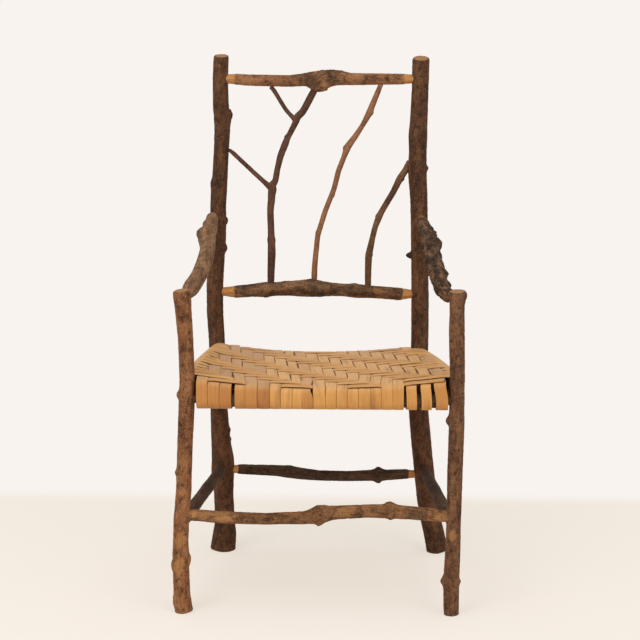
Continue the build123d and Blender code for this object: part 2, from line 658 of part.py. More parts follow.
def warp_front(warp):
    """A warp's middle line under and up the front rail to the crease."""
    rail, radius = front_seat_path[1]
    beside, below = radius + WRAP_BESIDE, radius + WRAP_BELOW
    crease = seat_height(warp_x(warp, FRONT_CREASE), FRONT_CREASE)
    return [
        corner(-beside * EIGHTH, rail.Z - below, -EIGHTH, -1),
        corner(-beside, rail.Z - below * EIGHTH, -1, -EIGHTH),
        corner(FRONT_CREASE, crease - CREASE_BEND, -1, EIGHTH),
        corner(FRONT_CREASE + CREASE_BEND, crease, -EIGHTH, 1),
    ]


def warp_back(warp):
    """A warp's middle line over the back crease, down behind the back rail and under it."""
    rail, radius = back_seat_path[1]
    beside, below = radius + WRAP_BESIDE, radius + WRAP_BELOW
    crease = seat_height(warp_x(warp, BACK_CREASE), BACK_CREASE)
    return [
        corner(BACK_CREASE - CREASE_BEND, crease, EIGHTH, 1),
        corner(BACK_CREASE, crease - CREASE_BEND, 1, EIGHTH),
        corner(rail.Y + beside, rail.Z - below * EIGHTH, 1, -EIGHTH),
        corner(rail.Y + beside * EIGHTH, rail.Z - below, EIGHTH, -1),
    ]


def warp_under(warp):
    """A warp's middle line along the underside, from the back to the front."""
    rows = list(range(1, WEFT_COUNT))
    sides = [1 if under_warp_over(warp, j) else -1 for j in rows]
    turns = levels([weft_y(j) for j in rows], sides, WEFT_WIDTH)
    return [corner(y, under_height(y) + side * UNDER_LAYER, 0, -1) for y, side in reversed(turns)]


def crossed_by(weft):
    """The warps that a weft crosses on the seat."""
    return [warp for warp in range(WARP_COUNT) if weft <= LAST_ROWS[warp]]


def weft_top(weft):
    """A weft's middle line over the seat, from left to right."""
    y = weft_y(weft)
    warps = crossed_by(weft)
    sides = [-1 if warp_over(warp, weft) else 1 for warp in warps]
    turns = levels([warp_x(warp, y) for warp in warps], sides, WARP_WIDTH)
    return [corner(x, seat_height(x, y) + side * LAYER, 0, 1) for x, side in turns]


def weft_under(weft):
    """A weft's middle line along the underside, from right to left."""
    y = weft_y(weft)
    warps = list(range(UNDER_FIRST - 1, UNDER_LAST + 2))
    sides = [-1 if under_warp_over(warp, weft) else 1 for warp in warps]
    turns = levels([warp_x(warp, y) for warp in warps], sides, WARP_WIDTH)
    return [corner(x, under_height(y) + side * UNDER_LAYER, 0, -1) for x, side in reversed(turns)]


def weft_wrap(path, y, way):
    """A weft's middle line round the outside of a side rail, from the top down."""
    rail = rail_at(path, y)
    (front, _), (back, _) = path[0], path[-1]
    drift = abs((back.X - front.X) / (back.Y - front.Y) - WARP_SKEW) * WEFT_WIDTH / 2
    beside = SEAT_SIDE_RADIUS + WRAP_ABOVE + drift
    above = SEAT_SIDE_RADIUS + WRAP_ABOVE
    return [
        corner(rail.X + way * beside * EIGHTH, rail.Z + above, way * EIGHTH, 1),
        corner(rail.X + way * beside, rail.Z + above * EIGHTH, way, EIGHTH),
        corner(rail.X + way * beside, rail.Z - above * EIGHTH, way, -EIGHTH),
        corner(rail.X + way * beside * EIGHTH, rail.Z - above, way * EIGHTH, -1),
    ]


def offset_line(line, distance, stretch):
    """A splint's face: its middle line moved out of the loop by a distance."""
    return [((a + out_a * distance) * stretch, b + out_b * distance) for a, b, out_a, out_b in line]


def splint(line, closed, middle, x_dir, z_dir, across, width):
    """Extrude one splint across its width into the piece being built."""
    stretch = x_dir.length
    start = middle - across * (width / 2) - Vector(MIDDLE_X, MIDDLE_Y, 0)
    outer = offset_line(line, THICKNESS / 2, stretch)
    inner = offset_line(line, -THICKNESS / 2, stretch)
    with BuildSketch(Plane(origin=start, x_dir=x_dir, z_dir=z_dir)) as side_view:
        with BuildLine():
            Polyline(*(outer if closed else outer + inner[::-1]), close=True)
        make_face()
        if closed:
            with BuildLine():
                Polyline(*inner, close=True)
            make_face(mode=Mode.SUBTRACT)
    extrude(side_view.sketch, amount=across.length * width, dir=across)


def tilt(warp):
    """Sideways slope of the seat along a warp."""
    y = weft_y(LAST_ROWS[warp]) / 2
    left = warp_x(warp, y) - WARP_WIDTH / 2
    return (seat_height(left + WARP_WIDTH, y) - seat_height(left, y)) / WARP_WIDTH


with BuildPart() as seat_warp_splints:
    for warp in range(WARP_COUNT):
        whole = LAST_ROWS[warp] == WEFT_COUNT - 1
        if whole:
            line = warp_front(warp) + warp_top(warp) + warp_back(warp) + warp_under(warp)
        else:
            tail = corner(TUCKED_TAIL, under_height(TUCKED_TAIL) - UNDER_LAYER, 0, -1)
            line = [tail] + warp_front(warp) + warp_top(warp)
        middle = Vector(warp_x(warp, 0), 0, 0)
        along, square_to = Vector(WARP_SKEW, 1, 0), Vector(1, -WARP_SKEW, 0)
        splint(line, whole, middle, along, square_to, Vector(1, 0, tilt(warp)), WARP_WIDTH)
seat_warp_splints.part.label = "seat_warp_splints"

with BuildPart() as seat_weft_splints:
    for weft in range(WEFT_COUNT):
        y = weft_y(weft)
        line = weft_top(weft)
        if weft:
            right = weft_wrap(seat_right_path, y, 1)
            left = weft_wrap(seat_left_path, y, -1)
            line = line + right + weft_under(weft) + left[::-1]
        across = Vector(WARP_SKEW, 1, -SEAT_FALL)
        splint(line, weft > 0, Vector(0, y, 0), SIDEWAYS, Vector(0, -1, 0), across, WEFT_WIDTH)
seat_weft_splints.part.label = "seat_weft_splints"

export_step(back_post_left.part, "parts/back_post_left.step")
export_step(back_post_right.part, "parts/back_post_right.step")
export_step(front_post_left.part, "parts/front_post_left.step")
export_step(front_post_right.part, "parts/front_post_right.step")
export_step(crest_rail.part, "parts/crest_rail.step")
export_step(lower_back_rail.part, "parts/lower_back_rail.step")
export_step(forked_twig.part, "parts/forked_twig.step")
export_step(middle_twig.part, "parts/middle_twig.step")
export_step(side_twig.part, "parts/side_twig.step")
export_step(arm_left.part, "parts/arm_left.step")
export_step(arm_right.part, "parts/arm_right.step")
export_step(front_stretcher.part, "parts/front_stretcher.step")
export_step(back_stretcher.part, "parts/back_stretcher.step")
export_step(side_stretcher_left.part, "parts/side_stretcher_left.step")
export_step(side_stretcher_right.part, "parts/side_stretcher_right.step")
export_step(front_seat_rail.part, "parts/front_seat_rail.step")
export_step(back_seat_rail.part, "parts/back_seat_rail.step")
export_step(side_seat_rail_left.part, "parts/side_seat_rail_left.step")
export_step(side_seat_rail_right.part, "parts/side_seat_rail_right.step")
export_step(seat_warp_splints.part, "parts/seat_warp_splints.step")
export_step(seat_weft_splints.part, "parts/seat_weft_splints.step")
export_step(joint_nails.part, "parts/joint_nails.step")
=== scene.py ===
"""Twig armchair with a woven splint seat, dressed around its construction model.

Bark-on branches are drawn again as round limbs with bark, knots, whittled ends and sawn ends.
The splint seat is woven strip by strip over its rails. Every size comes from the frame or from
the few sizes named in the classes below. Lengths are in metres.
"""

import itertools
import logging
import math
from dataclasses import dataclass, field
from enum import Enum
from typing import Any

import bpy
import numpy as np
from mathutils.geometry import convex_hull_2d
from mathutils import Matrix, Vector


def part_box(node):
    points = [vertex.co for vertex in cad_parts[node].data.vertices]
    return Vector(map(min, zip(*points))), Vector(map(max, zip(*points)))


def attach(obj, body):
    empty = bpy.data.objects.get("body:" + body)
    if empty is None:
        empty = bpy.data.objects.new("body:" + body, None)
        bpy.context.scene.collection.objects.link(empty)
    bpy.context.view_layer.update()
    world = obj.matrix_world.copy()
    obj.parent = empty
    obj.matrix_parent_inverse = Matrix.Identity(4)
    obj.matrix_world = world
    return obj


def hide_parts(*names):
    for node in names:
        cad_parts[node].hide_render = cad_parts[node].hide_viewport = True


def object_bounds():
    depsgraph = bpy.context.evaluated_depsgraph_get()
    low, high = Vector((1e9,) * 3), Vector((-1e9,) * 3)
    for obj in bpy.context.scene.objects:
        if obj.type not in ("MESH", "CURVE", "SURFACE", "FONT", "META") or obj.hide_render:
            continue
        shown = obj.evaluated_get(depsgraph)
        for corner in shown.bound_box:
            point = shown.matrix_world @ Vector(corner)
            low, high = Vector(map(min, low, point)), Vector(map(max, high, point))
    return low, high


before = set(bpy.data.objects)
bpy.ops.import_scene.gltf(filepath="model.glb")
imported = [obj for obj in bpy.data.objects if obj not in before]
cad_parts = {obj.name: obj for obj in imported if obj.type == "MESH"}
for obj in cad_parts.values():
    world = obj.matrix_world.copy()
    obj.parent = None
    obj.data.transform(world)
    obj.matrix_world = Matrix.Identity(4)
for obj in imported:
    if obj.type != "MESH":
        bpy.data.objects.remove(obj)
CAD_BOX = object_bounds()

log = logging.getLogger("twig_chair")

MM = 0.001
BODY = "root"
VECTOR = "FLOAT_VECTOR"
LIMBS_APART = 0.05 * MM
Colour = tuple[float, float, float]


def srgb(red: int, green: int, blue: int) -> Colour:
    """Turn a colour as it is seen on a screen into scene-linear values.

    Args:
        red: Red from 0 to 255.
        green: Green from 0 to 255.
        blue: Blue from 0 to 255.

    Returns:
        The three scene-linear values.
    """
    parts = (value / 255 for value in (red, green, blue))
    return tuple(v / 12.92 if v <= 0.04045 else ((v + 0.055) / 1.055) ** 2.4 for v in parts)


@dataclass(frozen=True)
class Noise:
    """One kind of noise: its waves in a metre, its finer layers and how strong they are, its
    waves along the grain as a multiple of those across it, and a number of its own.
    """

    scale: float
    detail: float = 3.0
    rough: float = 0.55
    along: float = 1.0
    seed: float = 0.0


class Graph:
    """A node tree under construction, with short calls for the nodes that repeat."""

    def __init__(self, tree: bpy.types.NodeTree) -> None:
        """Take an empty node tree to fill."""
        self.tree = tree

    def add(self, kind: str, feeds: dict[Any, Any] | None = None, **settings: Any) -> Any:
        """Add a node.

        Args:
            kind: The node's type name.
            feeds: Values or outputs for its inputs, by name or number.
            **settings: Properties of the node, set before its inputs.

        Returns:
            The new node.
        """
        node = self.tree.nodes.new(kind)
        for name, value in settings.items():
            setattr(node, name, value)
        self.fill(node, feeds or {})
        return node

    def fill(self, node: Any, feeds: dict[Any, Any]) -> None:
        """Feed several inputs of a node, by name or number."""
        for key, value in feeds.items():
            self.feed(node.inputs[key], value)

    def feed(self, socket: Any, value: Any) -> None:
        """Link an output to an input, or set the input's own value."""
        if isinstance(value, bpy.types.NodeSocket):
            self.tree.links.new(value, socket)
        elif isinstance(value, tuple) and socket.type == "RGBA" and len(value) == 3:
            socket.default_value = (*value, 1.0)
        else:
            socket.default_value = value

    def math(self, operation: str, *values: Any, clamp: bool = False) -> Any:
        """Combine numbers.

        Args:
            operation: Name of the sum.
            *values: Its numbers, in order.
            clamp: Whether the result is kept between 0 and 1.

        Returns:
            The output that holds the result.
        """
        feeds = dict(enumerate(values))
        return self.add("ShaderNodeMath", feeds, operation=operation, use_clamp=clamp).outputs[0]

    def vector(self, operation: str, *values: Any) -> Any:
        """Combine vectors.

        Args:
            operation: Name of the sum.
            *values: Its vectors, in order.

        Returns:
            The output that holds the result, a number for a length or a dot product.
        """
        node = self.add("ShaderNodeVectorMath", operation=operation)
        for socket, value in zip(node.inputs, values):
            self.feed(socket, value)
        return node.outputs["Value" if operation in ("LENGTH", "DOT_PRODUCT", "DISTANCE") else "Vector"]

    def scaled(self, vector: Any, factor: Any) -> Any:
        """Multiply a vector by a number, and return the output."""
        feeds = {0: vector, "Scale": factor}
        return self.add("ShaderNodeVectorMath", feeds, operation="SCALE").outputs[0]

    def join(self, x: Any, y: Any, z: Any) -> Any:
        """Make a vector of three numbers, and return its output."""
        return self.add("ShaderNodeCombineXYZ", {0: x, 1: y, 2: z}).outputs[0]

    def parts(self, vector: Any) -> Any:
        """Split a vector, and return its three outputs."""
        return self.add("ShaderNodeSeparateXYZ", {0: vector}).outputs

    def ramp(self, value: Any, low: Any, high: Any, to_low: Any = 0.0, to_high: Any = 1.0) -> Any:
        """Turn a range of numbers smoothly into another.

        Args:
            value: The number.
            low: Where the range starts.
            high: Where the range ends.
            to_low: Result at and below the start.
            to_high: Result at and above the end.

        Returns:
            The output that holds the result.
        """
        feeds = {"Value": value, "From Min": low, "From Max": high}
        feeds |= {"To Min": to_low, "To Max": to_high}
        return self.add("ShaderNodeMapRange", feeds, interpolation_type="SMOOTHSTEP").outputs[0]

    def noise(self, vector: Any, kind: Noise, seed: Any = 0.0) -> Any:
        """Add a noise.

        Args:
            vector: Where it is read.
            kind: The kind of noise.
            seed: A number or an output that is added to the kind's own seed.

        Returns:
            The output, about 0.5 on average.
        """
        if kind.along != 1.0:
            vector = self.vector("MULTIPLY", vector, (1.0, 1.0, kind.along))
        linked = isinstance(seed, bpy.types.NodeSocket)
        seed = self.math("ADD", seed, kind.seed) if linked else seed + kind.seed
        feeds = {"Vector": vector, "W": seed, "Scale": kind.scale}
        feeds |= {"Detail": kind.detail, "Roughness": kind.rough}
        return self.add("ShaderNodeTexNoise", feeds, noise_dimensions="4D").outputs[0]

    def product(self, first: Any, *others: Any) -> Any:
        """Multiply numbers, and return the output."""
        for other in others:
            first = self.math("MULTIPLY", first, other)
        return first

    def mix(self, factor: Any, first: Any, second: Any) -> Any:
        """Mix two colours, and return the output."""
        node = self.add("ShaderNodeMix", data_type="RGBA")
        self.feed(node.inputs[0], factor)
        self.feed(node.inputs[6], first)
        self.feed(node.inputs[7], second)
        return node.outputs[2]

    def tint(self, tone: Any, colour: Any, factor: Any, strength: Any) -> Any:
        """Lay a colour over a tone by a factor times a strength, and return the output."""
        return self.mix(self.product(factor, strength), tone, colour)

    def bump(self, height: Any, strength: float, depth: float) -> Any:
        """Turn a height into fine relief, and return the output that holds its normal."""
        feeds = {"Height": height, "Strength": strength, "Distance": depth}
        return self.add("ShaderNodeBump", feeds).outputs[0]

    def seen(self) -> Any:
        """The output that is 1 for the camera and for what gloss and glass show, and else 0."""
        rays = self.add("ShaderNodeLightPath").outputs
        seen = self.math("MAXIMUM", rays["Is Camera Ray"], rays["Is Glossy Ray"])
        return self.math("MAXIMUM", seen, rays["Is Transmission Ray"])


class Finish:
    """What every finish shares: a named material that is built once."""

    name: str

    def shade(self, graph: Graph, surface: Any) -> None:
        """Wire the colour, roughness and bump of the finish into its shader."""
        raise NotImplementedError

    def material(self) -> bpy.types.Material:
        """Build the finish, or return it where it is already built."""
        done = bpy.data.materials.get(self.name)
        if done:
            return done
        material = bpy.data.materials.new(self.name)
        material.use_nodes = True
        graph = Graph(material.node_tree)
        material.node_tree.nodes.clear()
        surface = graph.add("ShaderNodeBsdfPrincipled")
        graph.add("ShaderNodeOutputMaterial", {"Surface": surface.outputs[0]})
        self.shade(graph, surface)
        return material


def attribute(graph: Graph, name: str) -> Any:
    """Add a reader of a mesh attribute, and return the node."""
    return graph.add("ShaderNodeAttribute", attribute_name=name)


@dataclass(frozen=True)
class Bark(Finish):
    """Bark with mottling, dark knots, pale bare patches, knife-cut ends and sawn ends."""

    name: str
    base: Colour
    light: Colour
    dark: Colour
    mottle: float = 0.8
    streak: float = 0.45
    dashed: float = 0.35
    ridged: float = 0.5
    patchy: float = 50.0
    pale: Colour = srgb(176, 134, 94)
    bare: Colour = srgb(196, 142, 82)
    seed: float = 0.0
    roughness: float = 0.82

    KNOT = srgb(44, 32, 24)
    WOOD_DARK = srgb(140, 88, 44)
    CRACK = srgb(30, 21, 15)
    RING = srgb(132, 94, 62)
    END = srgb(182, 140, 98)

    FLECKS = Noise(420.0, 3.0, 0.65, seed=3.1)
    STREAKS = Noise(520.0, 3.0, 0.6, along=0.07, seed=5.7)
    DASHES = Noise(150.0, 3.0, 0.6, along=4.5, seed=8.3)
    RING_WOBBLE = Noise(90.0, 2.0, 0.5)
    PATCH_DETAIL, PATCH_ROUGH, PATCH_ALONG = 4.0, 0.6, 0.3

    # Where a noise starts to show and shows in full, and in some how much it shows there.
    LIGHT_PATCH, DARK_PATCH = (0.42, 0.62), (0.46, 0.28)
    LIGHT_FLECK, DARK_FLECK = (0.5, 0.66), (0.49, 0.34)
    DARK_STREAK, PALE_DASH = (0.5, 0.34), (0.6, 0.68)
    CHARRED = (0.3, 0.62, 1.0, 0.55)
    KNIFE_LINES = (0.62, 0.36, 0.0, 0.55)
    CRACK_DEPTH = 0.8
    RING_RATE, RING_SHIFT, RING_EDGES = 4200.0, 4 * MM, (-0.6, 0.9)
    BARE_SHINE = -0.2
    SPECULAR = 0.2
    FLECK_HEIGHT, STREAK_HEIGHT = 0.6, 0.5
    BUMP = (0.9, 0.9 * MM)

    def shade(self, graph: Graph, surface: Any) -> None:
        """Wire bark, knots, bare wood and end grain into the shader."""
        grain = attribute(graph, "grain").outputs["Vector"]
        names = ("relief", "ridge", "knot", "bare", "sawn")
        relief, ridge, knot, bare, sawn = (attribute(graph, name).outputs["Fac"] for name in names)
        fleck = graph.noise(grain, self.FLECKS, self.seed)
        streaks = graph.noise(grain, self.STREAKS, self.seed)
        tone = self.skin(graph, grain, fleck, streaks)
        tone = graph.tint(tone, self.light, ridge, self.ridged)
        tone = graph.tint(tone, self.CRACK, relief, self.CRACK_DEPTH)
        tone = graph.tint(tone, self.KNOT, knot, graph.ramp(fleck, *self.CHARRED))
        wood = graph.mix(graph.ramp(streaks, *self.KNIFE_LINES), self.bare, self.WOOD_DARK)
        tone = graph.mix(bare, tone, wood)
        tone = graph.mix(sawn, tone, self.end_grain(graph, grain))
        dull = graph.math("ADD", graph.product(bare, self.BARE_SHINE), self.roughness)
        flecks = graph.product(fleck, self.FLECK_HEIGHT)
        height = graph.math("ADD", flecks, graph.product(streaks, self.STREAK_HEIGHT))
        bump = graph.bump(height, *self.BUMP)
        feeds = {"Base Color": tone, "Roughness": dull, "Normal": bump}
        graph.fill(surface, feeds | {"Specular IOR Level": self.SPECULAR})

    def skin(self, graph: Graph, grain: Any, fleck: Any, streaks: Any) -> Any:
        """Mottle the bark.

        Args:
            graph: The material's tree.
            grain: The output that holds the place on the unrolled bark.
            fleck: The noise of its flecks.
            streaks: The noise of its long lines.

        Returns:
            The output that holds the colour.
        """
        kind = Noise(self.patchy, self.PATCH_DETAIL, self.PATCH_ROUGH, self.PATCH_ALONG)
        patches = graph.noise(grain, kind, self.seed)
        tone = graph.mix(graph.ramp(patches, *self.LIGHT_PATCH), self.base, self.light)
        tone = graph.mix(graph.ramp(patches, *self.DARK_PATCH), tone, self.dark)
        dashes = graph.noise(grain, self.DASHES, self.seed)
        for colour, noise, shows, strength in (
            (self.light, fleck, self.LIGHT_FLECK, self.mottle),
            (self.dark, fleck, self.DARK_FLECK, self.mottle),
            (self.dark, streaks, self.DARK_STREAK, self.streak),
            (self.pale, dashes, self.PALE_DASH, self.dashed),
        ):
            tone = graph.tint(tone, colour, graph.ramp(noise, *shows), strength)
        return tone

    def end_grain(self, graph: Graph, grain: Any) -> Any:
        """Draw the year rings of a sawn end, and return the output that holds their colour."""
        x, y, _ = graph.parts(grain)
        distance = graph.vector("LENGTH", graph.join(x, y, 0.0))
        wobble = graph.product(graph.noise(grain, self.RING_WOBBLE, self.seed), self.RING_SHIFT)
        rings = graph.product(graph.math("ADD", distance, wobble), self.RING_RATE)
        rings = graph.ramp(graph.math("SINE", rings), *self.RING_EDGES)
        return graph.mix(rings, self.RING, self.END)


@dataclass(frozen=True)
class Splint(Finish):
    """Flat split wood with long fibres, a tone of its own on each strip, dusty upper faces that also
    carry painted light, and grime with painted shade at its rims and where it runs under another strip.
    """

    name: str
    pale: Colour = srgb(223, 165, 89)
    deep: Colour = srgb(174, 110, 53)
    # worn and mauve tint the upward faces paler and greyer: partly dusty wear, partly painted light on
    # the top.
    worn: Colour = srgb(224, 176, 118)
    mauve: Colour = srgb(178, 138, 108)
    # Grime in the fibres and stains; on the strips' rims it also stands for painted shade in the seams
    # between strips.
    grime_and_shade: Colour = srgb(120, 76, 40)
    # Painted shade, with some grime, where a splint runs under another.
    shade_and_grime_under: Colour = srgb(74, 42, 18)

    FIBRES = Noise(1500.0, 3.0, 0.6, along=0.02)
    BANDS = Noise(320.0, 3.0, 0.6, along=0.02, seed=4.0)
    STAINS = Noise(60.0, 4.0, 0.6, along=0.12, seed=9.0)

    # Where a value starts to show and shows in full, and in some how much it shows there.
    MAUVE_TONES = (0.7, 0.2, 0.0, 0.5)
    DEEP_BANDS, OPEN_FIBRES = (0.5, 0.7), (0.52, 0.7)
    STAINED, UNDER = (0.5, 0.72), (0.45, 0.95)
    # How much shows of: the dusty top with painted light, grain bands, open fibres, stains, rim grime
    # with painted seam shade, and painted shade with grime under crossings.
    DUSTED, BANDED, FIBROUS, SOILED, RIMMED, SHADED = 0.75, 0.35, 0.4, 0.5, 0.35, 0.75
    DULL = (0.3, 0.7, 0.48, 0.66)
    SPECULAR = 0.35
    FIBRE_HEIGHT, BAND_HEIGHT = 0.5, 0.7
    BUMP = (0.5, 0.5 * MM)

    def shade(self, graph: Graph, surface: Any) -> None:
        """Wire the strip's fibres, tone and wear, its painted top light and its painted shade into the
        shader.
        """
        grain = attribute(graph, "grain").outputs["Vector"]
        # Per point: the strip's own paleness, how dusty it is and how much painted top light it has, how
        # far it runs under another splint, and how near it is to a rim.
        tone, dust, dive, edge = (
            attribute(graph, name).outputs["Fac"] for name in ("tone", "dust", "dive", "edge")
        )
        fine = graph.noise(grain, self.FIBRES)
        wide = graph.noise(grain, self.BANDS)
        stains = graph.noise(grain, self.STAINS)
        colour = graph.mix(tone, self.deep, self.pale)
        # Upward faces go paler and greyer: partly dusty wear, partly painted light on the top.
        colour = graph.tint(colour, self.worn, dust, self.DUSTED)
        mauve = graph.ramp(tone, *self.MAUVE_TONES)
        colour = graph.tint(colour, self.mauve, graph.product(dust, dust), mauve)
        for layer, factor, strength in (
            (self.deep, graph.ramp(wide, *self.DEEP_BANDS), self.BANDED),
            (self.grime_and_shade, graph.ramp(fine, *self.OPEN_FIBRES), self.FIBROUS),
            (self.grime_and_shade, graph.ramp(stains, *self.STAINED), self.SOILED),
            # Darker rims: grime, and painted shade in the seams between strips.
            (self.grime_and_shade, edge, self.RIMMED),
            # Painted shade, with some grime, where a splint runs under another.
            (self.shade_and_grime_under, graph.ramp(dive, *self.UNDER), self.SHADED),
        ):
            colour = graph.tint(colour, layer, factor, strength)
        fibres = graph.product(fine, self.FIBRE_HEIGHT)
        height = graph.math("ADD", fibres, graph.product(wide, self.BAND_HEIGHT))
        bump = graph.bump(height, *self.BUMP)
        feeds = {"Base Color": colour, "Roughness": graph.ramp(fine, *self.DULL), "Normal": bump}
        graph.fill(surface, feeds | {"Specular IOR Level": self.SPECULAR})


@dataclass(frozen=True)
class Iron(Finish):
    """Dark hand-cut nail iron with a little rust."""

    name: str
    dark: Colour = srgb(46, 42, 40)
    rust: Colour = srgb(98, 62, 42)

    SPOTS = Noise(700.0, 4.0, 0.6)
    RUSTED, DULL = (0.45, 0.65), (0.4, 0.65, 0.45, 0.85)
    METALLIC = 0.6

    def shade(self, graph: Graph, surface: Any) -> None:
        """Wire the iron and its rust into the shader."""
        spots = graph.noise(graph.add("ShaderNodeTexCoord").outputs["Object"], self.SPOTS)
        colour = graph.mix(graph.ramp(spots, *self.RUSTED), self.dark, self.rust)
        feeds = {"Base Color": colour, "Roughness": graph.ramp(spots, *self.DULL)}
        graph.fill(surface, feeds | {"Metallic": self.METALLIC})


@dataclass(frozen=True)
class Paper(Finish):
    """Studio paper: the floor takes shadows, and further back it takes the wall's even tone."""

    name: str
    floor: Colour
    glow: Colour
    wall: Colour
    turns_up: tuple[float, float]
    floor_glow: float = 0.6

    def shade(self, graph: Graph, surface: Any) -> None:
        """Wire the floor into the wall by depth, and the light that only the camera and gloss see."""
        _, depth, _ = graph.parts(graph.add("ShaderNodeTexCoord").outputs["Object"])
        graph.fill(surface, {"Base Color": self.floor, "Roughness": 0.95, "Specular IOR Level": 0.0})
        lit = graph.product(graph.seen(), graph.ramp(depth, *self.turns_up, self.floor_glow, 1.0))
        tone = graph.mix(graph.ramp(depth, *self.turns_up), self.glow, self.wall)
        light = graph.add("ShaderNodeEmission", {"Color": tone, "Strength": 1.0})
        both = graph.add("ShaderNodeMixShader", {0: lit, 1: surface.outputs[0], 2: light.outputs[0]})
        output = next(n for n in graph.tree.nodes if n.type == "OUTPUT_MATERIAL")
        graph.feed(output.inputs["Surface"], both.outputs[0])


class Run(Enum):
    """The way that a branch mostly runs, and the side that its angles are measured from."""

    UPRIGHT = (2, (1.0, 0.0, 0.0))
    SIDEWAYS = (0, (0.0, 0.0, 1.0))
    BACKWARD = (1, (0.0, 0.0, 1.0))


class Keep(Enum):
    """Which of the limbs that a cut crosses belongs to the branch."""

    ALL = (0, 0)
    RIGHTMOST = (0, 1)
    LOWEST = (2, -1)
    HIGHEST = (2, 1)


class Ends(Enum):
    """Which ends of a branch show knife-cut wood; hidden ones stay full and bark-covered."""

    BARK = 0
    START = 1
    BOTH = 2
    HIDDEN = 3


@dataclass(frozen=True)
class Mark:
    """A knot, scar, cut shoot or bare patch on a branch.

    Attributes:
        at: Its place on the axis that the branch runs along, in millimetres.
        turn: Angle round the branch in degrees, as its run counts them.
        size: Its radius in millimetres.
        height: How far it stands out in millimetres.
        bare: How bare its middle is, from 0 to 1.
        dark: How dark it is, from 0 to 1.
        rough: How gnarled it is, as a height in millimetres.
        stretch: Its length along the branch, as a multiple of its width.
    """

    at: float
    turn: float
    size: float = 8.0
    height: float = 2.0
    bare: float = 0.0
    dark: float = 0.5
    rough: float = 0.0
    stretch: float = 1.0


def mesh_triangles(node: str) -> np.ndarray:
    """The corners of a frame node's triangles, as an array of triangle, corner and axis."""
    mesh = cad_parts[node].data
    places = np.empty(len(mesh.vertices) * 3)
    mesh.vertices.foreach_get("co", places)
    mesh.calc_loop_triangles()
    corners = np.empty(len(mesh.loop_triangles) * 3, dtype=np.int32)
    mesh.loop_triangles.foreach_get("vertices", corners)
    return places.reshape(-1, 3)[corners].reshape(-1, 3, 3)


def node_middle(node: str, axis: int) -> float:
    """The middle of a frame node's box on one axis."""
    low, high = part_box(node)
    return (low[axis] + high[axis]) / 2


def cut(triangles: np.ndarray, axis: int, level: float) -> np.ndarray:
    """Cut a mesh with a plane.

    Args:
        triangles: The mesh's triangles.
        axis: The axis that the plane is square to.
        level: The plane's place on that axis.

    Returns:
        One short line across each triangle that is cut, as an array of line, end and axis.
    """
    side = triangles[:, :, axis] - level
    above = side > 0
    crossed = above.any(axis=1) & ~above.all(axis=1)
    corners, side, above = triangles[crossed], side[crossed], above[crossed]
    lone = np.where(above.sum(axis=1) == 1, above.argmax(axis=1), above.argmin(axis=1))
    rows = np.arange(len(corners))
    ends = []
    for step in (1, 2):
        other = (lone + step) % 3
        part = side[rows, lone] / (side[rows, lone] - side[rows, other])
        ends.append(corners[rows, lone] + part[:, None] * (corners[rows, other] - corners[rows, lone]))
    return np.stack(ends, axis=1)


def one_limb(lines: np.ndarray, keep: Keep) -> np.ndarray:
    """The ends of the lines that go round the outermost limb, where a cut crosses several."""
    axis, way = keep.value
    if not way:
        return lines.reshape(-1, 3)
    spans = np.sort(lines[:, :, axis] * -way, axis=1)
    order = np.argsort(spans[:, 0])
    reach = np.maximum.accumulate(spans[order, 1])
    breaks = np.nonzero(spans[order[1:], 0] > reach[:-1] + LIMBS_APART)[0]
    kept = order[: breaks[0] + 1] if len(breaks) else order
    return lines[kept].reshape(-1, 3)


def hull_middle(points: np.ndarray) -> tuple[np.ndarray, float]:
    """The middle and the area of the hull of flat points."""
    start = points.mean(axis=0)
    hull = (points - start)[convex_hull_2d([tuple(p) for p in points - start])]
    after = np.roll(hull, -1, axis=0)
    cross = hull[:, 0] * after[:, 1] - after[:, 0] * hull[:, 1]
    area = cross.sum() / 2
    return start + ((hull + after) * cross[:, None]).sum(axis=0) / (6 * area), abs(area)


def smoothed(values: np.ndarray, reach: float) -> np.ndarray:
    """Values blurred along their first axis.

    Args:
        values: One row for each place.
        reach: The blur's spread, in places.

    Returns:
        The blurred values, with both ends kept in place.
    """
    half = max(1, math.ceil(3 * reach))
    weights = np.exp(-0.5 * (np.arange(-half, half + 1) / reach) ** 2)
    weights /= weights.sum()
    flat = values.reshape(len(values), -1)
    before = 2 * flat[0] - flat[half:0:-1]
    after = 2 * flat[-1] - flat[-2 : -half - 2 : -1]
    padded = np.concatenate([before, flat, after])
    columns = [np.convolve(padded[:, c], weights, mode="valid") for c in range(flat.shape[1])]
    return np.stack(columns, axis=1).reshape(values.shape)


@dataclass
class Limb:
    """The middle line of one limb, with what the limb is like at each ring."""

    points: np.ndarray
    radii: np.ndarray
    knife: np.ndarray
    sawn: np.ndarray
    side: tuple[float, float, float]

    def tangents(self) -> np.ndarray:
        """The way that the limb runs at each ring."""
        ways = np.gradient(self.points, axis=0)
        return ways / np.linalg.norm(ways, axis=1)[:, None]

    def sides(self) -> np.ndarray:
        """The way that angle 0 faces at each ring."""
        ways = self.tangents()
        across = np.array(self.side)[None, :] - ways * (ways @ np.array(self.side))[:, None]
        return across / np.linalg.norm(across, axis=1)[:, None]


